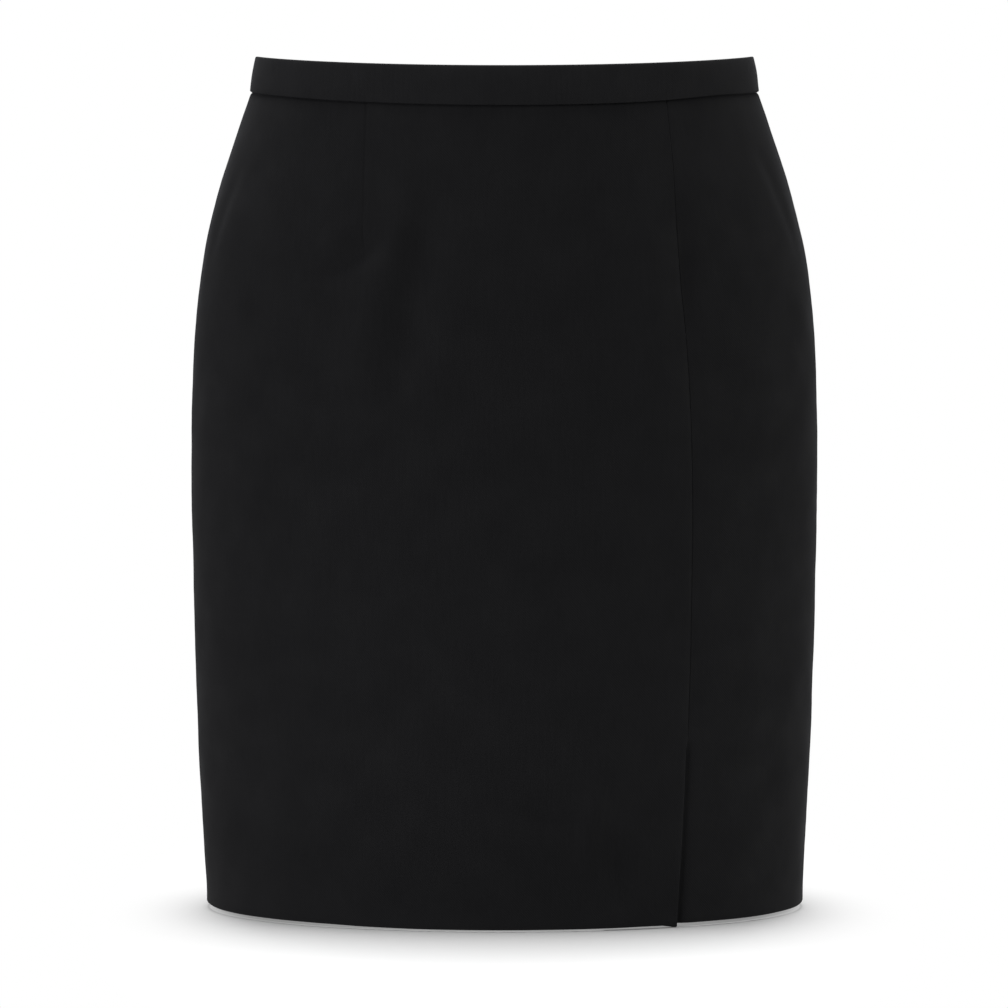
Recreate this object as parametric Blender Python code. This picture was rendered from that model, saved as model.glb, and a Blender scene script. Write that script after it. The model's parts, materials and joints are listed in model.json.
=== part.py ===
"""Pencil skirt in its worn form, built from the pieces that it is cut in.

Frame: metres, +Z up, centre front towards -Y, the wearer's left at +X. The origin is the centre of
the waist seam's ring, at the height where that seam crosses the side seams.

Sizes are in millimetres and degrees, and points become metres where a mesh is made. A drop is a
distance below the origin. An angle is counted round the tube, from the centre front towards the
wearer's left: the side seams are at 90 and -90, and the centre back is at 180. A side is 1 on the
wearer's left and -1 on the right.
"""
import math
from collections import namedtuple

import bmesh
import bpy
import numpy as np
from mathutils import Matrix, Vector

MM = 0.001

# The tube's level cross-sections: two half ellipses that meet at the side seams. seam_x is how far
# the princess seam lies from the centre front.
Section = namedtuple("Section", "drop half_width front_depth back_depth seam_x")
SECTIONS = (
    Section(0, 158.0, 112.0, 110.0, 97.3),
    Section(30, 168.2, 115.0, 121.0, 100.2),
    Section(60, 178.0, 118.5, 131.0, 103.0),
    Section(100, 187.4, 122.0, 141.0, 106.3),
    Section(150, 193.1, 124.5, 148.0, 110.5),
    Section(230, 195.4, 125.5, 150.0, 113.8),
    Section(320, 194.1, 124.0, 145.0, 113.4),
    Section(420, 191.0, 122.5, 137.0, 110.4),
    Section(507, 186.2, 121.0, 131.0, 105.8),
)
HEM_DROP = 507.0                # at the centre front and the centre back
HEM_SIDE_RISE = 1.8

# Cloth
WALL = 1.5                      # the suiting with its turnings
SEAM_GAP = 0.3
SIDE_ANGLE = 90.0
CENTRE_BACK_ANGLE = 180.0
COLUMN_STEP = 5.2               # the widest step round the tube between two columns of points
FIRST_ROW_DROP = 28.0           # the first level row of points, below the curved waist seam
ROWS_ABOVE_VENT = 14
ROWS_BESIDE_VENT = 6

# Waistband, whose seam dips at the centre front and the centre back
WAIST_DIP = 11.5
DIP_POWER = 1.4                 # how the dip fades towards the sides
BAND_HEIGHT_SIDE = 22.5
BAND_HEIGHT_CENTRE = 24.5
BAND_WALL = 2.1
BAND_PROUD = 0.6                # its turned edge stands out from the panels
BAND_LEAN_SIDE = 0.147          # how far it leans in for each millimetre that it rises
BAND_LEAN_FRONT = 0.08
BAND_LEAN_BACK = 0.20
BAND_ROWS = 4

# Darts, each a pressed groove that runs out at its tip
FRONT_DART_X = -86.0
FRONT_DART_TIP = 102.0
BACK_DART_X = 74.0
BACK_DART_TIP = 128.0
DART_GROOVE = 0.9

# Vent at the foot of the princess seam, where the front laps over the side front's underlap
VENT_TOP = 390.0
LAP_INSET = WALL + SEAM_GAP
LAP_COLUMNS = 3                 # the underlap reaches this many columns behind the front
LAP_SLANT = 4.0                 # its top edge falls by this much at each of them
CORNER_SAG = 1.3                # the front's free corner hangs lower
LAP_SHORT = 1.0                 # and the lap behind it ends higher

# Concealed zip behind the centre back
ZIP_PART = 0.9                  # from the centre back to each tape and to each end of the waistband
TAPE_WIDTH = 11.0
TAPE_WALL = 1.0
TAPE_CLEAR = 0.5                # from the cloth to the tape
TAPE_INSET = WALL + TAPE_CLEAR
TAPE_TOP_CLEAR = 1.5            # below the waistband's top edge
TAPE_FOOT_DROP = 185.0
TAPE_BAND_ROWS = 3
TAPE_PANEL_ROWS = 8

# Slider and pull tab, in the pivot's frame: X along the axis, Y away from the cloth, Z up along it
PIVOT_BELOW_TOP = 7.0
PIVOT_PROUD = 1.4               # from the waistband's face out to the axis
EYE_RADIUS = 1.6
EYE_HOLE_RADIUS = 0.85
EYE_HALF_WIDTH = 0.6
EYE_SIDES = 24
NECK_HALF_WIDTH = 0.5
NECK_HALF_HEIGHT = 1.2
SLIDER_HALF_WIDTH = 2.5
SLIDER_DEPTH = 2.4
SLIDER_TOP = 2.6
SLIDER_FOOT = -6.0
SLIDER_FACE = -(PIVOT_PROUD + BAND_PROUD + TAPE_INSET + TAPE_WALL + SEAM_GAP)
SLIDER_EDGE = 0.4
TAB_HALF_THICKNESS = 0.5
TAB_LENGTH = 17.0
TAB_HEAD_HALF_WIDTH = 2.2
TAB_NECK_HALF_WIDTH = 1.8
TAB_NECK_DROP = 4.0
TAB_FOOT_RADIUS = 2.8
TAB_FOOT_POINTS = 9
TAB_WINDOW_HALF_WIDTH = 0.9
TAB_WINDOW_FOOT = 2.1
TAB_EDGE = 0.25

# Materials
CLOTH_BLACK = (0.012, 0.012, 0.013)
CLOTH_ROUGHNESS = 0.9
TAPE_BLACK = (0.009, 0.009, 0.010)
TAPE_ROUGHNESS = 0.8
LACQUER_BLACK = (0.014, 0.014, 0.015)
LACQUER_ROUGHNESS = 0.35
SHARP_ANGLE = 35.0

SECTION_DROPS = np.array([row.drop for row in SECTIONS], float)
SECTION_VALUES = {field: np.array([getattr(row, field) for row in SECTIONS]) for field in Section._fields}


# ---------------------------------------------------------------- the form that the cloth follows

def at(drop, field):
    """One column of SECTIONS at any drop, on a smooth curve through its rows."""
    values = SECTION_VALUES[field]
    slopes = np.gradient(values, SECTION_DROPS)
    row = int(np.searchsorted(SECTION_DROPS, drop)) - 1
    row = min(max(row, 0), len(SECTIONS) - 2)
    span = SECTION_DROPS[row + 1] - SECTION_DROPS[row]
    t = (drop - SECTION_DROPS[row]) / span
    start = values[row] * (1 + 2 * t) + slopes[row] * span * t
    end = values[row + 1] * (3 - 2 * t) - slopes[row + 1] * span * (1 - t)
    return float(start * (1 - t) ** 2 + end * t ** 2)


def half_depth(angle, drop):
    """The depth of the half ellipse that an angle lies on."""
    return at(drop, "front_depth" if math.cos(math.radians(angle)) > 0 else "back_depth")


def skin(angle, drop):
    """A point on the outside of the cloth."""
    turn = math.radians(angle)
    return Vector((at(drop, "half_width") * math.sin(turn), -half_depth(angle, drop) * math.cos(turn), -drop))


def cloth(angle, drop, inset=0.0):
    """A point on the outside of the cloth, or inset from it along its normal."""
    small_turn, small_drop = 0.1, 1
    round_it = skin(angle + small_turn, drop) - skin(angle - small_turn, drop)
    down_it = skin(angle, drop + small_drop) - skin(angle, drop - small_drop)
    return skin(angle, drop) + round_it.cross(down_it).normalized() * inset


def turn_for(angle, drop, distance):
    """The change of angle that moves a point this far round the tube."""
    turn = math.radians(angle)
    rate = math.hypot(at(drop, "half_width") * math.cos(turn), half_depth(angle, drop) * math.sin(turn))
    return math.degrees(distance / rate)


def centre_share(angle):
    """1 at the centre front and the centre back, falling to 0 at the side seams."""
    return abs(math.cos(math.radians(angle))) ** DIP_POWER


def waist_drop(angle):
    return WAIST_DIP * centre_share(angle)


def hem_drop(angle):
    return HEM_DROP - HEM_SIDE_RISE * (1 - centre_share(angle))


def band_height(angle):
    return BAND_HEIGHT_SIDE + (BAND_HEIGHT_CENTRE - BAND_HEIGHT_SIDE) * centre_share(angle)


def band(angle, rise, inset=0.0):
    """A point on the outside of the waistband, a rise above the waist seam, or inset from it."""
    turn = math.radians(angle)
    drop = waist_drop(angle)
    level = Vector((math.sin(turn) / at(drop, "half_width"), -math.cos(turn) / half_depth(angle, drop), 0))
    level.normalize()
    centre_lean = BAND_LEAN_FRONT if math.cos(turn) > 0 else BAND_LEAN_BACK
    lean = BAND_LEAN_SIDE + (centre_lean - BAND_LEAN_SIDE) * math.cos(turn) ** 2
    upward = Vector((0, 0, 1))
    outward = (level + upward * lean).normalized()
    return skin(angle, drop) + (upward - level * lean) * rise + outward * (BAND_PROUD - inset)


# ---------------------------------------------------------------- the lines that panels are cut on

def side_line(side):
    return lambda drop: side * SIDE_ANGLE


def centre_back_line(side):
    return lambda drop: side * CENTRE_BACK_ANGLE


def princess_line(drop):
    return math.degrees(math.asin(at(drop, "seam_x") / at(drop, "half_width")))


def front_dart_line(drop):
    return math.degrees(math.asin(FRONT_DART_X / at(drop, "half_width")))


def back_dart_line(side):
    def line(drop):
        from_centre = math.degrees(math.asin(BACK_DART_X / at(drop, "half_width")))
        return side * (CENTRE_BACK_ANGLE - from_centre)
    return line


def beside(line, distance):
    """The line this far round from another."""
    return lambda drop: line(drop) + turn_for(line(drop), drop, distance)


def lines_between(line, other):
    """Lines spread evenly from one to the other, with both of them."""
    widest = max(abs(other(drop) - line(drop)) for drop in SECTION_DROPS)
    count = math.ceil(widest / COLUMN_STEP)
    return [lambda drop, share=i / count: line(drop) * (1 - share) + other(drop) * share
            for i in range(count + 1)]


# ---------------------------------------------------------------- meshes and materials

def material(name, colour, roughness, metallic=0.0):
    finish = bpy.data.materials.new(name)
    finish.use_nodes = True
    shader = finish.node_tree.nodes["Principled BSDF"]
    shader.inputs["Base Color"].default_value = (*colour, 1)
    shader.inputs["Roughness"].default_value = roughness
    shader.inputs["Metallic"].default_value = metallic
    return finish


def mesh_object(name, bm, finish, parent=None):
    """An object from a bmesh in millimetres, shaded smooth between its sharp edges."""
    bmesh.ops.scale(bm, vec=(MM, MM, MM), verts=bm.verts)
    mesh = bpy.data.meshes.new(name)
    bm.to_mesh(mesh)
    bm.free()
    mesh.materials.append(finish)
    mesh.shade_smooth()
    mesh.set_sharp_from_angle(angle=math.radians(SHARP_ANGLE))
    made = bpy.data.objects.new(name, mesh)
    made.parent = parent
    bpy.context.collection.objects.link(made)
    return made


def wall_object(name, outer, inner, finish):
    """A closed wall between two grids of points, in columns from left to right seen from outside.

    A column holds None beside rows where the wall has no cloth.
    """
    bm = bmesh.new()
    grids = [[[point and bm.verts.new(point) for point in column] for column in grid]
             for grid in (outer, inner)]
    for grid, corner_order in zip(grids, (1, -1)):
        for left, right in zip(grid, grid[1:]):
            for row in range(len(left) - 1):
                corners = (left[row], left[row + 1], right[row + 1], right[row])
                if all(corners):
                    bm.faces.new(corners[::corner_order])
    twin = {out: into for columns in zip(*grids) for out, into in zip(*columns)}
    for edge in [edge for edge in bm.edges if edge.is_boundary and edge.verts[0] in twin]:
        loop = edge.link_loops[0]
        start, end = loop.vert, loop.link_loop_next.vert
        bm.faces.new((end, start, twin[start], twin[end]))
    return mesh_object(name, bm, finish)


def box_object(name, low, high, finish, parent):
    bm = bmesh.new()
    bmesh.ops.create_cube(bm, size=1)
    bmesh.ops.scale(bm, vec=Vector(high) - Vector(low), verts=bm.verts)
    bmesh.ops.translate(bm, vec=(Vector(high) + Vector(low)) / 2, verts=bm.verts)
    return mesh_object(name, bm, finish, parent)


def disc_object(name, radius, half_width, finish, parent):
    """A disc about the pivot's axis."""
    bm = bmesh.new()
    bmesh.ops.create_cone(bm, cap_ends=True, segments=EYE_SIDES, radius1=radius, radius2=radius,
                          depth=2 * half_width, matrix=Matrix.Rotation(math.radians(90), 4, "Y"))
    return mesh_object(name, bm, finish, parent)


def combine(target, tool, operation):
    """Joins a tool to the target, or cuts it out of the target, and keeps the tool as a guide."""
    boolean = target.modifiers.new(tool.name, "BOOLEAN")
    boolean.operation = operation
    boolean.object = tool
    tool.hide_render = True
    tool.display_type = "WIRE"


def soften(target, width):
    bevel = target.modifiers.new("edges", "BEVEL")
    bevel.width = width * MM
    bevel.limit_method = "ANGLE"


# ---------------------------------------------------------------- panels

def column(line, dart_tip=None, hem_change=0.0):
    """Places (angle, drop, inset) down one line of a panel, with a dart's groove if it has one."""
    waist = waist_drop(line(0)) + SEAM_GAP / 2
    above = np.linspace(FIRST_ROW_DROP, VENT_TOP, ROWS_ABOVE_VENT)
    below = np.linspace(VENT_TOP, hem_drop(line(HEM_DROP)) + hem_change, ROWS_BESIDE_VENT)
    places = []
    for drop in (waist, *above[:-1], *below):
        groove = DART_GROOVE * max(0.0, 1 - drop / dart_tip) if dart_tip else 0.0
        places.append((line(drop), drop, groove))
    return places


def darted_columns(start, dart, dart_tip, end):
    """Columns from one edge of a panel, by its dart, to its other edge."""
    before = [column(line) for line in lines_between(start, dart)[:-1]]
    after = [column(line) for line in lines_between(dart, end)[1:]]
    return before + [column(dart, dart_tip)] + after


def cloth_wall(name, columns, finish):
    outer = [[place and cloth(*place) for place in places] for places in columns]
    inner = [[place and cloth(place[0], place[1], place[2] + WALL) for place in places] for places in columns]
    return wall_object(name, outer, inner, finish)


def front_edges():
    """The front's cut edges at the side seam and at the princess seam."""
    return beside(side_line(-1), SEAM_GAP / 2), beside(princess_line, -SEAM_GAP / 2)


def front_panel(finish):
    side_edge, seam_edge = front_edges()
    columns = darted_columns(side_edge, front_dart_line, FRONT_DART_TIP, seam_edge)
    columns[-1] = column(seam_edge, hem_change=CORNER_SAG)
    return cloth_wall("front_panel", columns, finish)


def side_front_panel(finish):
    """The side front. Below the vent's top its edge sinks behind the front and runs on as the underlap."""
    seam_edge = beside(princess_line, SEAM_GAP / 2)
    seam = [(angle, drop, LAP_INSET if drop >= VENT_TOP else 0.0)
            for angle, drop, inset in column(seam_edge, hem_change=-LAP_SHORT)]
    front_lines = lines_between(front_dart_line, front_edges()[1])
    lap = []
    for step in range(LAP_COLUMNS, 0, -1):
        line = front_lines[-1 - step]
        foot = hem_drop(line(HEM_DROP)) - LAP_SHORT
        drops = np.linspace(VENT_TOP + LAP_SLANT * step, foot, ROWS_BESIDE_VENT)
        places = [(line(drop), drop, LAP_INSET) for drop in drops]
        lap.append([None] * (len(seam) - ROWS_BESIDE_VENT) + places)
    side_edge = beside(side_line(1), -SEAM_GAP / 2)
    rest = [column(line) for line in lines_between(seam_edge, side_edge)[1:]]
    return cloth_wall("side_front_panel", lap + [seam] + rest, finish)


def back_panel(name, side, finish):
    side_edge = beside(side_line(side), side * SEAM_GAP / 2)
    centre_edge = beside(centre_back_line(side), -side * SEAM_GAP / 2)
    columns = darted_columns(side_edge, back_dart_line(side), BACK_DART_TIP, centre_edge)
    return cloth_wall(name, columns[::side], finish)


# ---------------------------------------------------------------- waistband

def waistband_piece(name, start, end, finish):
    """One piece of the waistband, from one angle round to another."""
    angles = np.linspace(start, end, math.ceil((end - start) / COLUMN_STEP) + 1)
    outer, inner = [], []
    for angle in angles:
        rises = np.linspace(band_height(angle), SEAM_GAP / 2, BAND_ROWS)
        outer.append([band(angle, rise) for rise in rises])
        inner.append([band(angle, rise, BAND_WALL) for rise in rises])
    return wall_object(name, outer, inner, finish)


def waistband(finish):
    """Front and two backs, parted at the side seams and, for the zip, at the centre back."""
    side_gap = turn_for(SIDE_ANGLE, 0, SEAM_GAP / 2)
    zip_gap = turn_for(CENTRE_BACK_ANGLE, WAIST_DIP, ZIP_PART)
    side, back = SIDE_ANGLE + side_gap, CENTRE_BACK_ANGLE - zip_gap
    waistband_piece("waistband_front", side_gap - SIDE_ANGLE, SIDE_ANGLE - side_gap, finish)
    waistband_piece("waistband_back_left", side, back, finish)
    waistband_piece("waistband_back_right", -back, -side, finish)


# ---------------------------------------------------------------- concealed zip

def zip_tape(name, side, finish):
    """A tape that lies inside the waistband and the back panel, along one side of the centre back."""
    outer, inner = [], []
    for distance in (ZIP_PART + TAPE_WIDTH, ZIP_PART + TAPE_WIDTH / 2, ZIP_PART):
        line = beside(centre_back_line(side), -side * distance)
        angle = line(WAIST_DIP)
        rises = np.linspace(band_height(angle) - TAPE_TOP_CLEAR, 0, TAPE_BAND_ROWS)
        drops = np.linspace(waist_drop(angle), TAPE_FOOT_DROP, TAPE_PANEL_ROWS)[1:]
        for inset, grid in ((TAPE_INSET, outer), (TAPE_INSET + TAPE_WALL, inner)):
            grid.append([band(angle, rise, BAND_PROUD + inset) for rise in rises]
                        + [cloth(line(drop), drop, inset) for drop in drops])
    return wall_object(name, outer[::side], inner[::side], finish)


def pivot_empty():
    """The pull tab's axis, just off the waistband's face and leaning with it."""
    empty = bpy.data.objects.new("zip_pivot", None)
    rise = band_height(CENTRE_BACK_ANGLE) - PIVOT_BELOW_TOP
    empty.location = band(CENTRE_BACK_ANGLE, rise, -PIVOT_PROUD) * MM
    empty.rotation_euler.x = math.atan(BAND_LEAN_BACK)
    bpy.context.collection.objects.link(empty)
    return empty


def zip_slider(finish, pivot):
    """The slider inside the tapes, whose neck comes out between them to an eye for the tab."""
    slider = box_object("zip_slider", (-SLIDER_HALF_WIDTH, SLIDER_FACE - SLIDER_DEPTH, SLIDER_FOOT),
                        (SLIDER_HALF_WIDTH, SLIDER_FACE, SLIDER_TOP), finish, pivot)
    soften(slider, SLIDER_EDGE)
    neck = box_object("slider_neck", (-NECK_HALF_WIDTH, SLIDER_FACE - SLIDER_DEPTH / 2, -NECK_HALF_HEIGHT),
                      (NECK_HALF_WIDTH, 0, NECK_HALF_HEIGHT), finish, pivot)
    eye = disc_object("slider_eye", EYE_RADIUS, EYE_HALF_WIDTH, finish, pivot)
    hole = disc_object("slider_hole", EYE_HOLE_RADIUS, 2 * EYE_HALF_WIDTH, finish, pivot)
    combine(slider, neck, "UNION")
    combine(slider, eye, "UNION")
    combine(slider, hole, "DIFFERENCE")
    return slider


def zip_pull_tab(finish, pivot):
    """A flat tab with a round foot, whose top bar lies in the slider's eye."""
    foot = -(TAB_LENGTH - TAB_FOOT_RADIUS)
    outline = [(TAB_NECK_HALF_WIDTH, -TAB_NECK_DROP), (TAB_HEAD_HALF_WIDTH, TAB_HALF_THICKNESS),
               (-TAB_HEAD_HALF_WIDTH, TAB_HALF_THICKNESS), (-TAB_NECK_HALF_WIDTH, -TAB_NECK_DROP)]
    for turn in np.linspace(math.pi, 2 * math.pi, TAB_FOOT_POINTS):
        outline.append((TAB_FOOT_RADIUS * math.cos(turn), foot + TAB_FOOT_RADIUS * math.sin(turn)))
    bm = bmesh.new()
    face = bm.faces.new([bm.verts.new((x, TAB_HALF_THICKNESS, z)) for x, z in reversed(outline)])
    solid = bmesh.ops.extrude_face_region(bm, geom=[face], use_keep_orig=True)
    moved = [item for item in solid["geom"] if isinstance(item, bmesh.types.BMVert)]
    bmesh.ops.translate(bm, vec=(0, -2 * TAB_HALF_THICKNESS, 0), verts=moved)
    bmesh.ops.recalc_face_normals(bm, faces=bm.faces)
    tab = mesh_object("zip_pull_tab", bm, finish, pivot)
    through = 2 * TAB_HALF_THICKNESS
    window = box_object("tab_window", (-TAB_WINDOW_HALF_WIDTH, -through, -TAB_WINDOW_FOOT),
                        (TAB_WINDOW_HALF_WIDTH, through, -TAB_HALF_THICKNESS), finish, pivot)
    combine(tab, window, "DIFFERENCE")
    soften(tab, TAB_EDGE)
    return tab


# ---------------------------------------------------------------- the skirt

for old in list(bpy.data.objects):
    bpy.data.objects.remove(old)

suiting = material("black suiting", CLOTH_BLACK, CLOTH_ROUGHNESS)
front_panel(suiting)
side_front_panel(suiting)
back_panel("back_panel_left", 1, suiting)
back_panel("back_panel_right", -1, suiting)
waistband(material("black suiting, waistband", CLOTH_BLACK, CLOTH_ROUGHNESS))

tape = material("black zip tape", TAPE_BLACK, TAPE_ROUGHNESS)
zip_tape("zip_tape_left", 1, tape)
zip_tape("zip_tape_right", -1, tape)

lacquer = material("black lacquered brass", LACQUER_BLACK, LACQUER_ROUGHNESS)
zip_pivot = pivot_empty()
zip_slider(lacquer, zip_pivot)
zip_pull_tab(lacquer, zip_pivot)
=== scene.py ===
"""Looks of the pencil skirt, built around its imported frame.

Sizes are in millimetres and degrees, and points become metres where a mesh is made. The centre front
is towards -Y and the wearer's left at +X. A drop is a distance below the origin. An angle goes round
the tube from the centre front towards the wearer's left: the side seams are at 90 and -90, and the
centre back is at 180. An inset is a depth below the outside of the cloth. A side is 1 on the wearer's
left and -1 on the right.
"""
import json
import math
from collections import namedtuple

import bmesh
import bpy
import numpy as np
from mathutils import Matrix, Vector


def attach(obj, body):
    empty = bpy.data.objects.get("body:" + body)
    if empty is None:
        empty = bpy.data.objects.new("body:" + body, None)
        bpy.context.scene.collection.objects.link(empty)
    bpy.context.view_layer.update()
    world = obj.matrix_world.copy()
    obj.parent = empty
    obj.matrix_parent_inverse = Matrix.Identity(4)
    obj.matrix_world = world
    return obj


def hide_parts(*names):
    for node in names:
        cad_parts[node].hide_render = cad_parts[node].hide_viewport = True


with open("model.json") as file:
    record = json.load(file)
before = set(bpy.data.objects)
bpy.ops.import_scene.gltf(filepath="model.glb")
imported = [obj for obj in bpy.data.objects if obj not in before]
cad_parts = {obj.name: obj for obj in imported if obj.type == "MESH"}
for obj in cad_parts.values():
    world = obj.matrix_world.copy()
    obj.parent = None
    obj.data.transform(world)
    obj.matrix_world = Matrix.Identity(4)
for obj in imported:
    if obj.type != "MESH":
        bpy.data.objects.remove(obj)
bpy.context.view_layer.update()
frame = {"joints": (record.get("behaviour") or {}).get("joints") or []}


# ==================================================================== front panel
# The front is cut in one piece of black worsted suiting, from the right side seam to the princess
# seam, with one dart. Its seam allowances are pressed open behind it, its hem is turned up, and the
# last stretch of its princess edge is turned back as the free edge of the vent.

MM = 0.001

# The tube's level cross-sections: two half ellipses that meet at the side seams. seam_x is how far
# the princess seam lies from the centre front.
Section = namedtuple("Section", "drop half_width front_depth back_depth seam_x")
SECTIONS = (
    Section(0, 158.0, 112.0, 110.0, 97.3),
    Section(30, 168.2, 115.0, 121.0, 100.2),
    Section(60, 178.0, 118.5, 131.0, 103.0),
    Section(100, 187.4, 122.0, 141.0, 106.3),
    Section(150, 193.1, 124.5, 148.0, 110.5),
    Section(230, 195.4, 125.5, 150.0, 113.8),
    Section(320, 194.1, 124.0, 145.0, 113.4),
    Section(420, 191.0, 122.5, 137.0, 110.4),
    Section(507, 186.2, 121.0, 131.0, 105.8),
)
SECTION_COLUMNS = {field: np.array([getattr(row, field) for row in SECTIONS], float)
                   for field in Section._fields}
HIP_DROP = 230.0
HEM_DROP = 507.4
HEM_SIDE_RISE = 1.05            # the hem rises soon beside the centres,
HEM_SIDE_RATE = 3
HEM_END_RISE = 1.4              # and again just before the side seams
HEM_END_POWER = 4
WAIST_DIP = 11.9                # the waist seam dips at the centre front and the centre back,
DIP_POWER = 1.4
WAIST_RISE = 1.4                # is drawn up all round by the waistband,
WAIST_LIFT = 1.3                # and is eased up a little over the left hip
WAIST_LIFT_ANGLE = 54.0
WAIST_LIFT_REACH = 15.0


def at(drop, field):
    """One column of SECTIONS at any drops, on a smooth curve through its rows."""
    drops, values = SECTION_COLUMNS["drop"], SECTION_COLUMNS[field]
    slopes = np.gradient(values, drops)
    row = np.clip(np.searchsorted(drops, drop) - 1, 0, len(drops) - 2)
    span = drops[row + 1] - drops[row]
    t = (drop - drops[row]) / span
    start = values[row] * (1 + 2 * t) + slopes[row] * span * t
    end = values[row + 1] * (3 - 2 * t) - slopes[row + 1] * span * (1 - t)
    return start * (1 - t) ** 2 + end * t ** 2


def half_depth(angle, drop):
    """The depth of the half ellipse that an angle lies on."""
    return np.where(np.cos(np.radians(angle)) > 0, at(drop, "front_depth"), at(drop, "back_depth"))


def skin(angle, drop):
    """Points on the plain form, without folds."""
    turn = np.radians(angle)
    return np.stack([at(drop, "half_width") * np.sin(turn), -half_depth(angle, drop) * np.cos(turn),
                     -drop + 0 * turn], axis=-1)


def unit(vectors):
    return vectors / np.linalg.norm(vectors, axis=-1, keepdims=True)


def outward(angle, drop):
    """Unit normals of the plain form."""
    small_turn, small_drop = 0.1, 1.0
    round_it = skin(angle + small_turn, drop) - skin(angle - small_turn, drop)
    down_it = skin(angle, drop + small_drop) - skin(angle, drop - small_drop)
    return unit(np.cross(down_it, round_it))


def mm_per_degree(angle, drop):
    turn = np.radians(angle)
    return math.radians(1) * np.hypot(at(drop, "half_width") * np.cos(turn),
                                      half_depth(angle, drop) * np.sin(turn))


def centre_share(angle):
    """1 at the centre front and the centre back, falling to 0 at the side seams."""
    return np.abs(np.cos(np.radians(angle))) ** DIP_POWER


def ease(share):
    """0 up to 0, 1 from 1, and smooth between."""
    share = np.clip(share, 0, 1)
    return share * share * (3 - 2 * share)


def waist_lift(angle):
    return WAIST_LIFT * np.exp(-((angle - WAIST_LIFT_ANGLE) / WAIST_LIFT_REACH) ** 2)


def waist_drop(angle):
    return WAIST_DIP * centre_share(angle) - waist_lift(angle) - WAIST_RISE


def hem_drop(angle):
    from_centre = 1 - centre_share(angle)
    end_rise = HEM_END_RISE * from_centre ** HEM_END_POWER
    return HEM_DROP - HEM_SIDE_RISE * ease(from_centre * HEM_SIDE_RATE) - end_rise


# The lines that the panels are cut on, and the darts in them.
DART_WAIST_X = -83.1
DART_TIP_X = -85.8
DART_TIP = 106.0
BACK_DART_X = 74.0
BACK_DART_TIP = 128.0
VENT_TOP = 390.0


def side_line(side):
    return lambda drop: side * 90.0 + 0 * drop


def centre_back_line(side):
    return lambda drop: side * 180.0 + 0 * drop


def princess_line(drop):
    return np.degrees(np.arcsin(at(drop, "seam_x") / at(drop, "half_width")))


def front_dart_line(drop):
    x = DART_WAIST_X + (DART_TIP_X - DART_WAIST_X) * np.minimum(drop / DART_TIP, 1)
    return np.degrees(np.arcsin(x / at(drop, "half_width")))


def back_dart_line(side):
    return lambda drop: side * (180.0 - np.degrees(np.arcsin(BACK_DART_X / at(drop, "half_width"))))


def beside(line, distance):
    """The line this far round from another."""
    return lambda drop: line(drop) + distance / mm_per_degree(line(drop), drop)


def lines_between(start, end):
    """Lines spread evenly between two others, without them, a face step apart or less at the hip."""
    middle = (start(HIP_DROP) + end(HIP_DROP)) / 2
    width = abs(end(HIP_DROP) - start(HIP_DROP)) * mm_per_degree(middle, HIP_DROP)
    count = math.ceil(width / FACE_STEP)
    return [lambda drop, share=i / count: start(drop) * (1 - share) + end(drop) * share
            for i in range(1, count)]


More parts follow.
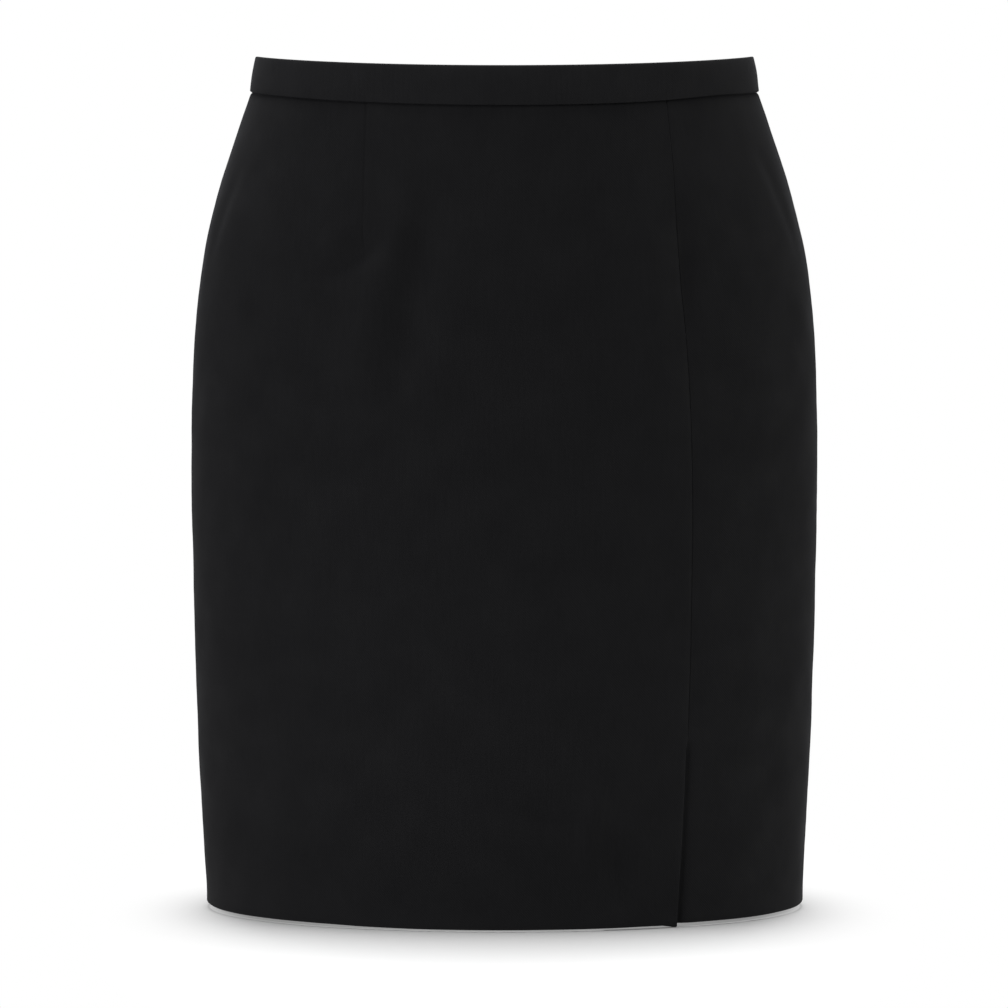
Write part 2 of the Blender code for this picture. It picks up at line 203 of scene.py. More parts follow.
# Soft troughs in the worn cloth, each along a bowed line from one place to another. One with a
# negative depth is a ridge.
Fold = namedtuple("Fold", "angle drop to_angle to_drop bow half_width depth")
FOLDS = (
    Fold(-12.0, 45, -24.6, 256, 2.0, 13.0, 3.4),        # front, dragged from the waist to the hip
    Fold(-18.4, 36, -35.5, 236, 5.0, 13.5, -3.3),       # between ridges
    Fold(-5.6, 54, -17.5, 310, 0.0, 11.0, -0.4),
    Fold(-21.0, 85, -40.0, 121, 0.0, 11.0, 4.1),        # off the dart's tip
    Fold(-26.6, 74, -42.0, 108, 0.0, 7.5, -0.6),
    Fold(15.4, 42, 17.6, 140, 0.0, 9.0, 0.8),
    Fold(10.4, 36, 12.4, 118, 0.0, 8.0, -0.6),
    Fold(13.0, 120, 19.0, 196, -3.0, 9.0, 0.5),
    Fold(28.8, 48, 28.4, 206, 0.0, 10.0, -1.9),         # the princess seam stands up
    Fold(35.8, 42, 34.6, 216, 0.0, 9.5, 2.7),           # over the hollow behind it
    Fold(-46.0, 210, -37.0, 300, 4.0, 13.0, 0.5),
    Fold(1.6, 431, 17.4, 435, -3.0, 12.0, 3.2),         # above the hem
    Fold(18.2, 412, 13.6, 488, 0.0, 8.5, -3.2),
    Fold(22.8, 448, 20.8, 505, 0.0, 9.0, 2.8),
    Fold(-9.0, 446, -3.0, 520, 0.0, 16.0, 0.7),
    Fold(-52.0, 330, -60.0, 520, 5.0, 17.0, 0.7),
    Fold(58.0, 300, 63.0, 520, -4.0, 15.0, 0.8),
    Fold(64.0, 30, 76.0, 118, 3.0, 8.0, 0.8),           # left hip
    Fold(104.0, 40, 117.0, 165, 4.0, 10.0, 2.0),
    Fold(112.0, 210, 106.0, 300, -3.0, 14.0, 1.1),
    Fold(-66.0, 34, -77.0, 132, -3.0, 8.0, 0.8),        # right hip
    Fold(-103.0, 52, -119.0, 150, -4.0, 9.0, 2.1),
    Fold(-115.0, 190, -108.0, 292, 3.0, 15.0, 1.2),
    Fold(170.0, 22, 148.0, 40, 2.0, 4.5, 0.6),          # back, under the waistband
    Fold(-171.0, 30, -150.0, 50, -2.0, 5.0, 0.7),
    Fold(155.5, 122, 141.0, 186, -3.0, 9.0, 2.8),       # off the back darts' tips
    Fold(-156.0, 118, -143.0, 172, 2.0, 8.0, 2.3),
    Fold(172.0, 296, 134.0, 282, 5.0, 13.0, 1.6),       # below the seat
    Fold(-174.0, 318, -138.0, 300, -5.0, 15.0, 1.9),
    Fold(152.0, 306, 157.0, 522, 3.0, 15.0, 2.4),
    Fold(-163.0, 330, -153.0, 522, -4.0, 17.0, 2.2),
    Fold(124.0, 372, 121.0, 522, 0.0, 13.0, -1.7),
    Fold(-128.0, 352, -133.0, 522, 0.0, 14.0, -1.6),
)
FOLD_TAPER = 0.75               # below 1, a trough is deepest nearer its start
FOLD_RIM = 0.5                  # it has low rims

UNEVEN_SEED = 11
UNEVEN_WAVES = 26
UNEVEN_DEPTH = 0.12
UNEVEN_LENGTHS = (22.0, 85.0)   # the shortest and longest wave in the pressed cloth
STIFF_WAIST = 24.0              # the waistband holds the cloth smooth down to here

PUCKER_DEPTH = 0.07             # along sewn seams
PUCKER_LENGTH = 15.0
PUCKER_REACH = 5.0
PUCKER_DRIFT = 1.7              # they draw together and apart, in waves of so many puckers
PUCKER_DRIFT_LENGTH = 4.3
ALLOWANCE = 15.0                # seam allowances, pressed open, show as faint steps
ALLOWANCE_STEP = 0.10
STEP_SOFTNESS = 2.5
HEM_TURN = 35.0
HEM_STEP = 0.16
HEM_FLARE = 0.45                # its fold is pressed outwards
HEM_FLARE_REACH = 17.0
DART_GROOVE = 0.6
DART_GROOVE_WIDTH = 0.9
DART_GROOVE_POWER = 0.25        # below 1, it stays deep to near the tip
DART_INTAKE = 13.0              # its folded width at the waist, pressed towards the centre
DART_STEP = 0.3
DART_STEP_RATE = 4
DART_STEP_SOFTNESS = 3.0
PRINCESS_RIDGE = 0.3            # one side of the princess seam rolls up near the waist
PRINCESS_RIDGE_AT = 2.3
PRINCESS_RIDGE_WIDTH = 1.1
PRINCESS_RIDGE_FOOT = 62.0
PRINCESS_RIDGE_FADE = 20.0
SEAM_DROP = 0.8                 # and its front edge lies over the other side, down to the vent
SEAM_DROP_WIDTH = 3.4
SEAM_DROP_REACH = 14.0
SEAM_DROP_TOP = 50.0
SEAM_DROP_FADE = 30.0
VENT_FADE = 8.0                 # the seam's relief fades out over this length above the vent
CORNER_LIFT = 0.1               # the vent's free corner swings out
CORNER_LIFT_REACH = 45.0


def degrees_from(start, angle):
    """The short way round from one angle to another."""
    return (angle - start + 180) % 360 - 180


def distance_from(line, angle, drop):
    """How far round the tube places lie from a line, more than 0 on its left-hip side."""
    there = line(drop)
    return degrees_from(there, angle) * mm_per_degree(there, drop)


def troughs(angle, drop):
    depth = 0
    for fold in FOLDS:
        rate = mm_per_degree(fold.angle, fold.drop)
        across = degrees_from(fold.angle, angle) * rate
        down = drop - fold.drop
        reach = ((fold.to_angle - fold.angle) * rate, fold.to_drop - fold.drop)
        length = math.hypot(*reach)
        along = np.clip((across * reach[0] + down * reach[1]) / length ** 2, 0, 1)
        aside = (across * reach[1] - down * reach[0]) / length - 4 * fold.bow * along * (1 - along)
        ratio = (aside / fold.half_width) ** 2
        swell = np.sin(math.pi * along ** FOLD_TAPER) ** 2
        depth += fold.depth * swell * (1 - FOLD_RIM * ratio) * np.exp(-ratio)
    return depth


def unevenness(angle, drop):
    """Slow waves in all directions, from -1 to 1 or so."""
    draw = np.random.default_rng(UNEVEN_SEED)
    points = skin(angle, drop)
    total = 0
    for _ in range(UNEVEN_WAVES):
        direction = unit(draw.normal(size=3))
        length = draw.uniform(*UNEVEN_LENGTHS)
        total += np.sin(points @ direction * 2 * math.pi / length + draw.uniform(0, 2 * math.pi))
    return total / math.sqrt(UNEVEN_WAVES / 2)


def dart_relief(from_line, drop, tip, inward):
    """A dart's groove, and the step over its intake, which lies on the inward side."""
    fade = np.clip(1 - drop / tip, 0, 1)
    groove = DART_GROOVE * fade ** DART_GROOVE_POWER * np.exp(-(from_line / DART_GROOVE_WIDTH) ** 2)
    over = from_line * inward
    past = ease((over - DART_INTAKE * fade) / DART_STEP_SOFTNESS)
    return DART_STEP * ease(fade * DART_STEP_RATE) * ease(over + 0.5) * (1 - past) - groove


def seam_relief(from_line, drop):
    """Puckers beside a seam, and the faint step over its open allowances."""
    away = np.abs(from_line)
    phase = 2 * math.pi * drop / PUCKER_LENGTH
    drifting = phase + PUCKER_DRIFT * np.sin(phase / PUCKER_DRIFT_LENGTH)
    pucker = PUCKER_DEPTH * np.exp(-away / PUCKER_REACH) * np.sin(drifting)
    return pucker + ALLOWANCE_STEP * (1 - ease((away - ALLOWANCE + 1) / STEP_SOFTNESS))


def relief(angle, drop):
    """How far the cloth stands out from the plain form."""
    below_waist = drop - waist_drop(angle)
    soft = ease(below_waist / STIFF_WAIST)
    height = soft * (UNEVEN_DEPTH * unevenness(angle, drop) - troughs(angle, drop))
    from_princess = distance_from(princess_line, angle, drop)
    sewn = ease((VENT_TOP - drop) / VENT_FADE)
    height += sewn * seam_relief(from_princess, drop)
    ridge = np.exp(-((from_princess - PRINCESS_RIDGE_AT) / PRINCESS_RIDGE_WIDTH) ** 2)
    height += PRINCESS_RIDGE * ridge * (1 - ease((drop - PRINCESS_RIDGE_FOOT) / PRINCESS_RIDGE_FADE))
    for line in (side_line(1), side_line(-1), centre_back_line(1)):
        height += seam_relief(distance_from(line, angle, drop), drop)
    height += dart_relief(distance_from(front_dart_line, angle, drop), drop, DART_TIP, 1)
    for side in (1, -1):
        from_dart = distance_from(back_dart_line(side), angle, drop)
        height += dart_relief(from_dart, drop, BACK_DART_TIP, side)
    above_hem = hem_drop(angle) - drop
    height += HEM_STEP * ease((HEM_TURN + 1 - above_hem) / STEP_SOFTNESS)
    height += HEM_FLARE * np.clip(1 - above_hem / HEM_FLARE_REACH, 0, 1) ** 2
    fallen = np.where(from_princess < 0, ease(from_princess / SEAM_DROP_WIDTH + 1),
                      1 - ease(from_princess / SEAM_DROP_REACH))
    height -= SEAM_DROP * sewn * ease((drop - SEAM_DROP_TOP) / SEAM_DROP_FADE) * fallen
    near_corner = ease(from_princess / CORNER_LIFT_REACH + 1) * (from_princess < 0.5)
    return height + CORNER_LIFT * near_corner * ease((drop - VENT_TOP) / (HEM_DROP - VENT_TOP))


def cloth(angle, drop, inset=0.0):
    """Points on the outside of the cloth, or inset from it."""
    return skin(angle, drop) + outward(angle, drop) * (relief(angle, drop) - inset)[..., None]


BAND_HEIGHT_SIDE = 23.1
BAND_HEIGHT_CENTRE = 25.3
BAND_WALL = 2.1
BAND_PROUD = 0.95               # it stands out from the panels
BAND_LEAN_SIDE = 0.165          # how far the waistband leans in for each millimetre that it rises
BAND_LEAN_FRONT = 0.08
BAND_LEAN_BACK = 0.20


def band_height(angle):
    even = BAND_HEIGHT_SIDE + (BAND_HEIGHT_CENTRE - BAND_HEIGHT_SIDE) * centre_share(angle)
    return even - waist_lift(angle) - WAIST_RISE


def band(angle, rise, inset=0.0):
    """Points on the outside of the waistband, a rise above the waist seam, or inset from it."""
    turn = np.radians(angle)
    drop = waist_drop(angle)
    level = unit(np.stack([np.sin(turn) / at(drop, "half_width"), -np.cos(turn) / half_depth(angle, drop),
                           0 * turn], axis=-1))
    centre_lean = np.where(np.cos(turn) > 0, BAND_LEAN_FRONT, BAND_LEAN_BACK)
    lean = (BAND_LEAN_SIDE + (centre_lean - BAND_LEAN_SIDE) * np.cos(turn) ** 2)[..., None]
    upward = np.array([0.0, 0.0, 1.0])
    facing = unit(level + upward * lean)
    return (skin(angle, drop) + (upward - level * lean) * np.asarray(rise)[..., None]
            + facing * (BAND_PROUD - np.asarray(inset))[..., None])


# A panel is a grid of points. Its columns run from one cut edge round its fold, over the face, and
# round to the other cut edge. Its rows run from inside the waistband down the face, round the fold
# of the hem and up to the turning's edge. A flap is a share of the allowance's width, and a layer is
# how deep a turned allowance lies.
CLOTH_THICKNESS = 0.42
SEAM_GAP = -0.18                # sewn folds are pressed into each other
FOLD_RADIUS = 0.65
FOLD_TURNS = np.radians(np.linspace(0, 180, 7))
FLAP_SHARES = (1.0, 0.8, 0.55, 0.3, 0.12)
EDGE_STEPS = (1.0, 1.7, 2.7)
DART_STEPS = (-4.0, -2.6, -1.6, -1.0, -0.55, -0.25, 0.0, 0.25, 0.55, 1.0, 1.6, 2.6, 4.0)
FACE_STEP = 3.0
Column = namedtuple("Column", "line distance flap layer", defaults=(0.0, 0.0, 0.0))

WAIST_TUCK = 0.95               # the face dips in where it runs up behind the waistband,
TUCK_REACH = 2.0
SOFT_TUCK = 0.15                # and more softly from further down
SOFT_TUCK_REACH = 13.0
RISES_IN_BAND = (9.0, 6.0, 3.5, 1.6, 0.6)
IN_BAND_INSET = 1.2             # it lies between the waistband's turned edge and its inner layer,
ENTRY_REACH = 3.5               # once it has risen so far
WAIST_STEPS = (0.0, 0.5, 1.0, 1.6, 2.4, 3.4, 4.6)
HEM_THICKNESS = 2.5             # all that the turned hem takes up, four layers at a seam
HEM_TURNS = np.radians(np.linspace(0, 180, 11))
TURNING_RISES = (2.0, 6.0, 11.0, 17.0, 23.0, 29.0, 32.5)
CORNER_SAG = 1.7                # the vent's free corner hangs lower
CORNER_SAG_REACH = 14.0
VENT_FACING = 34.0              # the front's vent edge is turned back by this much,
VENT_DRAW = 1.2                 # which draws it this far from the seam's line
VENT_DRAW_ABOVE = 2.0
VENT_DRAW_REACH = 16.0


def round_fold(radius, turns=FOLD_TURNS):
    """How far out and how deep the cloth lies, step by step round a fold."""
    return [(radius * math.sin(turn), radius * (1 - math.cos(turn))) for turn in turns]


def edge_columns(line, side):
    """Columns from a cut edge, round its fold, on to the face, whose panel lies on that side of it."""
    flap = [Column(line, side * (SEAM_GAP / 2 + FOLD_RADIUS), side * share, 2 * FOLD_RADIUS)
            for share in FLAP_SHARES]
    fold = [Column(line, side * (SEAM_GAP / 2 + FOLD_RADIUS * (1 - math.sin(turn))), 0.0,
                   FOLD_RADIUS * (1 + math.cos(turn))) for turn in FOLD_TURNS]
    face = [Column(line, side * (SEAM_GAP / 2 + step)) for step in EDGE_STEPS]
    return (flap + fold + face)[::side]


def rows_down(angle, foot):
    """Each row's rise above the waist seam, drop on the face, turn round the hem's fold and rise inside."""
    waist, centre = waist_drop(angle), foot - HEM_THICKNESS / 2
    above = [(rise, waist, 0.0, 0.0) for rise in RISES_IN_BAND]
    near = [(0.0, waist + step, 0.0, 0.0) for step in WAIST_STEPS]
    count = round((HEM_DROP - WAIST_DIP) / FACE_STEP)
    face = [(0.0, drop, 0.0, 0.0) for drop in np.linspace(waist + WAIST_STEPS[-1], centre, count)[1:-1]]
    fold = [(0.0, centre, turn, 0.0) for turn in HEM_TURNS]
    inside = [(0.0, centre, math.pi, rise) for rise in TURNING_RISES]
    return np.array(above + near + face + fold + inside).T


def panel_points(columns, flap_width, foot_change=None, sink=None, draw=False):
    """The grid of points of a panel.

    flap_width is the width of its allowances at each drop. foot_change lowers a column's hem, sink sets
    places deeper, and draw pulls the vent's edge back from the princess seam's line.
    """
    grid = []
    for column in columns:
        foot = hem_drop(beside(column.line, column.distance)(HEM_DROP))
        if foot_change:
            foot = foot + foot_change(column)
        rise, drop, turn, inside = rows_down(column.line(0.0), foot)
        radius = HEM_THICKNESS / 2 - column.layer
        drop = drop + radius * np.sin(turn) - inside
        shift = column.distance + column.flap * flap_width(drop)
        if draw and column.line is princess_line:
            shift = shift - VENT_DRAW * ease((drop - VENT_TOP + VENT_DRAW_ABOVE) / VENT_DRAW_REACH)
        angle = beside(column.line, shift)(drop)
        inset = HEM_THICKNESS / 2 - radius * np.cos(turn)
        if sink:
            inset = inset + sink(angle, drop)
        grid.append((angle, drop, inset, rise))
    angle, drop, inset, rise = np.array(grid).swapaxes(0, 1)
    below = drop - waist_drop(angle)
    tuck = (WAIST_TUCK * (1 - ease(below / TUCK_REACH))
            + SOFT_TUCK * ease(below / TUCK_REACH) * (1 - ease(below / SOFT_TUCK_REACH)))
    points = cloth(angle, drop, inset + tuck)
    in_band = rise > 0
    entering = (BAND_PROUD + WAIST_TUCK - IN_BAND_INSET) * (1 - ease(rise / ENTRY_REACH))
    points[in_band] = band(angle[in_band], rise[in_band], (IN_BAND_INSET + entering + inset)[in_band])
    return points


def all_cells(points):
    return np.ones((len(points) - 1, len(points[0]) - 1), bool)


def kept_cells(columns, points):
    """Every cell of the grid but those of the allowances inside the waistband, where they are trimmed."""
    kept = all_cells(points)
    for i, (left, right) in enumerate(zip(columns, columns[1:])):
        if left.layer + right.layer > 2 * FOLD_RADIUS:
            kept[i, :len(RISES_IN_BAND)] = False
    return kept


def placed(name, data):
    """A new object in the scene."""
    made = bpy.data.objects.new(name, data)
    bpy.context.collection.objects.link(made)
    return made


def sheet_object(name, points, kept, finish, thickness=CLOTH_THICKNESS, pressed=None):
    """A sheet through a grid of points, with its cut laid flat as its UV map, in metres."""
    used = np.zeros(points.shape[:2], bool)
    for i, j in ((0, 0), (0, 1), (1, 0), (1, 1)):
        used[i:i + kept.shape[0], j:j + kept.shape[1]] |= kept
    number = np.cumsum(used).reshape(used.shape) - 1
    i, j = np.argwhere(kept).T
    faces = np.stack([number[i, j], number[i, j + 1], number[i + 1, j + 1], number[i + 1, j]], axis=1)
    mesh = bpy.data.meshes.new(name)
    mesh.from_pydata((points[used] * MM).tolist(), [], faces.tolist())
    middle = len(points) // 2
    across = np.cumsum(np.linalg.norm(np.diff(points, axis=0, prepend=points[:1]), axis=-1), axis=0)
    across = across - across[middle]
    down = np.cumsum(np.linalg.norm(np.diff(points[middle], axis=0, prepend=points[middle][:1]), axis=-1))
    flat = np.stack([across, 0 * across - down], axis=-1)[used] * MM
    corners = np.zeros(len(mesh.loops), np.int32)
    mesh.loops.foreach_get("vertex_index", corners)
    cut = mesh.uv_layers.new(name="cut")
    cut.data.foreach_set("uv", flat[corners].astype(np.float32).ravel())
    # The share of painted highlight on pressed folds goes into the "pressed" attribute.
    if pressed is not None:
        mark = mesh.attributes.new("pressed", "FLOAT", "POINT")
        mark.data.foreach_set("value", pressed[used].astype(np.float32))
    mesh.shade_smooth()
    mesh.materials.append(finish)
    made = placed(name, mesh)
    wall = made.modifiers.new("thickness", "SOLIDIFY")
    wall.thickness = thickness * MM
    wall.offset = -1
    return made


def grid_normals(points):
    """Unit normals of a grid of points, out of the cloth's right side."""
    return unit(np.cross(np.gradient(points, axis=1), np.gradient(points, axis=0)))


def stand_in(piece, node, body="skirt"):
    """Puts a piece on its body in the place of a node, and hides the node."""
    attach(piece, body)
    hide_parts(node)


def declare_sheet(piece, with_pieces=()):
    """Reads the cut of a sheet from its UV map."""
    cut = np.zeros(2 * len(piece.data.loops), np.float32)
    piece.data.uv_layers["cut"].data.foreach_get("uv", cut)


def linear(hex_colour):
    """An sRGB hex colour as a linear colour with alpha."""
    channels = [int(hex_colour[i:i + 2], 16) / 255 for i in (1, 3, 5)]
    return [c / 12.92 if c <= 0.04045 else ((c + 0.055) / 1.055) ** 2.4 for c in channels] + [1.0]


def set_inputs(tree, node, inputs):
    """Sets inputs of a node: each to a value, to a socket that it reads or to a node's first output."""
    for name, value in inputs.items():
        if isinstance(value, bpy.types.Node):
            value = value.outputs[0]
        if isinstance(value, bpy.types.NodeSocket):
            tree.links.new(value, node.inputs[name])
        else:
            node.inputs[name].default_value = value


def add_node(tree, kind, settings=None, inputs=None):
    """Adds a node with its settings and inputs."""
    node = tree.nodes.new(kind)
    for name, value in (settings or {}).items():
        setattr(node, name, value)
    set_inputs(tree, node, inputs or {})
    return node


def new_finish(name):
    """A new material, its node tree and its shader."""
    finish = bpy.data.materials.new(name)
    finish.use_nodes = True
    return finish, finish.node_tree, finish.node_tree.nodes["Principled BSDF"]


def worsted_suiting(name, shade, highlight):
    """Piece-dyed worsted twill, clipped and pressed: matt, with a faint nap that pales at grazing angles.

    Its twill is 0.4 mm apart. It is drawn at 1.1 mm, the finest that the render can hold.
    """
    twill_pitch, nap_length, slub_width, slub_length, patch = 0.0011, 0.0007, 0.0016, 0.022, 0.030
    nap_height, nap_tone, patch_tone, fold_highlight_tone = 1.6, 0.7, 0.45, 0.4
    finish, tree, shader = new_finish(name)
    cut = add_node(tree, "ShaderNodeTexCoord").outputs["UV"]
    waves_in_unit = 2 * math.pi / (10 * math.sqrt(2))
    twill = add_node(tree, "ShaderNodeTexWave", {"bands_direction": "DIAGONAL"},
                     {"Vector": cut, "Scale": waves_in_unit / twill_pitch, "Distortion": 0.6,
                      "Detail": 1.0, "Detail Scale": 0.8})
    nap = add_node(tree, "ShaderNodeTexNoise", None, {"Vector": cut, "Scale": 1 / nap_length, "Detail": 2.0})
    grain = add_node(tree, "ShaderNodeMapping", None,
                     {"Vector": cut, "Scale": (1 / slub_width, 1 / slub_length, 1)})
    slub = add_node(tree, "ShaderNodeTexNoise", None, {"Vector": grain, "Scale": 1.0, "Detail": 1.0})
    cloud = add_node(tree, "ShaderNodeTexNoise", None, {"Vector": cut, "Scale": 1 / patch, "Detail": 3.0})
    height = add_node(tree, "ShaderNodeMath", {"operation": "MULTIPLY_ADD"},
                      {0: nap, 1: nap_height, 2: twill.outputs["Fac"]})
    bump = add_node(tree, "ShaderNodeBump", None, {"Height": height, "Strength": 0.35, "Distance": 0.00010})
    fibre = add_node(tree, "ShaderNodeMath", {"operation": "MULTIPLY_ADD"}, {0: nap, 1: nap_tone, 2: slub})
    tone = add_node(tree, "ShaderNodeMath", {"operation": "MULTIPLY_ADD"},
                    {0: cloud, 1: patch_tone, 2: fibre})
    share = add_node(tree, "ShaderNodeMapRange", None, {"Value": tone, "From Min": 0.35, "From Max": 1.8})
    colour = add_node(tree, "ShaderNodeMix", {"data_type": "RGBA"},
                      {0: share, 6: linear(shade), 7: linear(highlight)})
    # Painted highlight: the pressed folds, read from the "pressed" attribute, are painted paler.
    edge = add_node(tree, "ShaderNodeAttribute", {"attribute_name": "pressed"})
    rubbed = add_node(tree, "ShaderNodeMath", {"operation": "MULTIPLY"},
                      {0: edge.outputs["Fac"], 1: fold_highlight_tone})
    with_fold_highlight = add_node(tree, "ShaderNodeMix", {"data_type": "RGBA"},
                     {0: rubbed, 6: colour.outputs[2], 7: linear("#232324")})
    rough = add_node(tree, "ShaderNodeMapRange", None,
                     {"Value": cloud, "From Min": 0.3, "From Max": 0.7, "To Min": 0.92, "To Max": 0.8})
    set_inputs(tree, shader, {"Base Color": with_fold_highlight.outputs[2], "Roughness": rough, "Normal": bump,
                              "Specular IOR Level": 0.08, "Sheen Weight": 0.035, "Sheen Roughness": 0.28,
                              "Sheen Tint": linear("#e6e8f0")})
    return finish


suiting = worsted_suiting("black worsted suiting", "#121213", "#171718")

FOLD_HIGHLIGHT_ROWS = 8                  # pressed folds get a painted highlight, the hem over so many rows
VENT_HIGHLIGHT = 0.3                # and the vent's edge by this much
VENT_HIGHLIGHT_REACH = 2.2


def painted_fold_highlight(columns, points, vent_edge=False):
    """How much painted highlight each point gets: 1 on the hem's fold and, on the front, on the vent's edge.
    """
    rows = points.shape[1]
    first_turned = rows - len(TURNING_RISES) - len(HEM_TURNS)
    from_hem = np.abs(np.arange(rows) - first_turned - len(HEM_TURNS) // 2)
    mark = np.exp(-(from_hem / FOLD_HIGHLIGHT_ROWS) ** 2) * np.ones((len(columns), 1))
    if vent_edge:
        distances = np.array([[abs(column.distance) if column.line is princess_line else math.inf]
                              for column in columns])
        # The vent's edge gets a weaker painted highlight.
        rubbed = VENT_HIGHLIGHT * np.exp(-(distances / VENT_HIGHLIGHT_REACH) ** 2)
        mark = np.maximum(mark, rubbed * (-points[..., 2] > VENT_TOP))
    return mark


def face_between(left_line, right_line, dart_line=None):
    """The columns of a panel between two seams, with a dart's own columns if it has one."""
    edge = SEAM_GAP / 2 + EDGE_STEPS[-1]
    start, end = beside(left_line, edge), beside(right_line, -edge)
    if dart_line is None:
        face = [Column(line) for line in lines_between(start, end)]
    else:
        before = lines_between(start, beside(dart_line, DART_STEPS[0]))
        after = lines_between(beside(dart_line, DART_STEPS[-1]), end)
        dart = [Column(dart_line, step) for step in DART_STEPS]
        face = [*map(Column, before), *dart, *map(Column, after)]
    return edge_columns(left_line, 1) + face + edge_columns(right_line, -1)


def plain_flap(drop):
    """A panel's allowance, as wide all the way down."""
    return ALLOWANCE + 0 * drop


def front_flap(drop):
    """The front's allowance, which widens into the vent's facing."""
    return ALLOWANCE + (VENT_FACING - ALLOWANCE) * ease((drop - VENT_TOP + VENT_FADE) / VENT_FADE)


def corner_sag(column):
    to_vent = -float(distance_from(princess_line, column.line(HEM_DROP), HEM_DROP)) - column.distance
    return CORNER_SAG * (1 - ease(to_vent / CORNER_SAG_REACH))


INTAKE_START = 2.0
INTAKE_ROWS = 26
INTAKE_FRONT = 0.5              # how deep its two layers lie
INTAKE_BACK = 1.4
INTAKE_SHARES = (0.0, 0.33, 0.66)


def dart_intake(name, line, tip, inward):
    """The cloth that a dart takes up, folded double and pressed to one side behind it."""
    drops = np.linspace(float(waist_drop(line(0.0))) + INTAKE_START, tip - INTAKE_START, INTAKE_ROWS)
    width = DART_INTAKE * (1 - drops / tip)
    fold = round_fold((INTAKE_BACK - INTAKE_FRONT) / 2)
    across = ([(share, 0.0, INTAKE_FRONT) for share in INTAKE_SHARES]
              + [(1.0, out, INTAKE_FRONT + deep) for out, deep in fold]
              + [(share, 0.0, INTAKE_BACK) for share in INTAKE_SHARES[::-1]])
    points = np.array([cloth(beside(line, inward * (share * width + past))(drops), drops, inset + 0 * drops)
                       for share, past, inset in across])[::inward]
    intake = sheet_object(name, points, all_cells(points), suiting)
    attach(intake, "skirt")
    return intake


def panel_sheet(panel, columns, points, cells, vent_edge=False):
    """The cloth of a panel, in the place of its node."""
    sheet = sheet_object(f"{panel}_cloth", points, cells, suiting,
                         pressed=painted_fold_highlight(columns, points, vent_edge))
    stand_in(sheet, panel)
    return sheet


def full_turn(count):
    """Angles spread evenly round a full turn, in radians."""
    return np.arange(count) * 2 * math.pi / count


def finished_mesh(name, bm, finish):
    """A smooth mesh of one material, with its faces pointing outwards."""
    bmesh.ops.recalc_face_normals(bm, faces=bm.faces)
    mesh = bpy.data.meshes.new(name)
    bm.to_mesh(mesh)
    bm.free()
    mesh.shade_smooth()
    mesh.materials.append(finish)
    return mesh


def bridge(bm, rings):
    """Joins rings of points, each to the next."""
    for ring, following in zip(rings, rings[1:]):
        for k in range(len(ring)):
            bm.faces.new((ring[k - 1], ring[k], following[k], following[k - 1]))


# Sewing thread. A stitch is a short run of thread through points in its own frame: X along the seam,
# Z out of the cloth and Y into it from its edge.
THREAD_SIDES = 4
ASIDE = (0.13, 0.2, 1.0)        # no run of thread goes this way


def thread_mesh(name, runs, radius, finish):
    bm = bmesh.new()
    for run in runs:
        run = np.array(run, float)
        ahead = unit(np.gradient(run, axis=0))
        side = unit(np.cross(ahead, ASIDE))
        lift = np.cross(side, ahead)
        turns = full_turn(THREAD_SIDES) + math.pi / THREAD_SIDES
        rings = [[bm.verts.new(Vector((centre + radius * (a * math.cos(turn) + b * math.sin(turn))) * MM))
                  for turn in turns] for centre, a, b in zip(run, side, lift)]
        bridge(bm, rings)
        bm.faces.new(rings[0][::-1])
        bm.faces.new(rings[-1])
    return bpy.data.objects.new(name, finished_mesh(name, bm, finish))


def stitching_tree():
    """Geometry nodes that repeat a stitch along a path whose points carry the way out of the cloth."""
    tree = bpy.data.node_groups.new("stitches along a seam", "GeometryNodeTree")
    sockets = (("Seam", "NodeSocketGeometry"), ("Stitch", "NodeSocketObject"), ("Pitch", "NodeSocketFloat"),
               ("Wobble", "NodeSocketFloat"), ("Seed", "NodeSocketInt"), ("Thread", "NodeSocketMaterial"))
    for name, kind in sockets:
        tree.interface.new_socket(name, in_out="INPUT", socket_type=kind)
    tree.interface.new_socket("Sewn", in_out="OUTPUT", socket_type="NodeSocketGeometry")
    given = tree.nodes.new("NodeGroupInput").outputs
    curve = add_node(tree, "GeometryNodeMeshToCurve", None, {"Mesh": given["Seam"]})
    steps = add_node(tree, "GeometryNodeResampleCurve", {"mode": "LENGTH"},
                     {"Curve": curve, "Length": given["Pitch"]})
    out = add_node(tree, "GeometryNodeInputNamedAttribute", {"data_type": "FLOAT_VECTOR"}, {"Name": "out"})
    along = add_node(tree, "GeometryNodeInputTangent")
    facing = add_node(tree, "FunctionNodeAxesToRotation", {"primary_axis": "Z", "secondary_axis": "X"},
                      {"Primary Axis": out, "Secondary Axis": along})
    stitch = add_node(tree, "GeometryNodeObjectInfo", None, {"Object": given["Stitch"]})
    instances = add_node(tree, "GeometryNodeInstanceOnPoints", None,
                         {"Points": steps, "Instance": stitch.outputs["Geometry"], "Rotation": facing})
    less = add_node(tree, "ShaderNodeMath", {"operation": "MULTIPLY"}, {0: given["Wobble"], 1: -1.0})
    low = add_node(tree, "ShaderNodeCombineXYZ", None, {2: less})
    high = add_node(tree, "ShaderNodeCombineXYZ", None, {2: given["Wobble"]})
    wobble = add_node(tree, "FunctionNodeRandomValue", {"data_type": "FLOAT_VECTOR"},
                      {"Min": low, "Max": high, "Seed": given["Seed"]})
    turned = add_node(tree, "GeometryNodeRotateInstances", None, {"Instances": instances, "Rotation": wobble})
    real = add_node(tree, "GeometryNodeRealizeInstances", None, {"Geometry": turned})
    done = add_node(tree, "GeometryNodeSetMaterial", None, {"Geometry": real, "Material": given["Thread"]})
    add_node(tree, "NodeGroupOutput", None, {"Sewn": done})
    return tree


stitching = stitching_tree()


def keep_result(thing, modifier):
    """Gives an object the plain mesh that its modifier makes, and removes the modifier."""
    bpy.context.view_layer.update()
    result = bpy.data.meshes.new_from_object(thing.evaluated_get(bpy.context.evaluated_depsgraph_get()))
    thing.modifiers.remove(modifier)
    thing.data = result


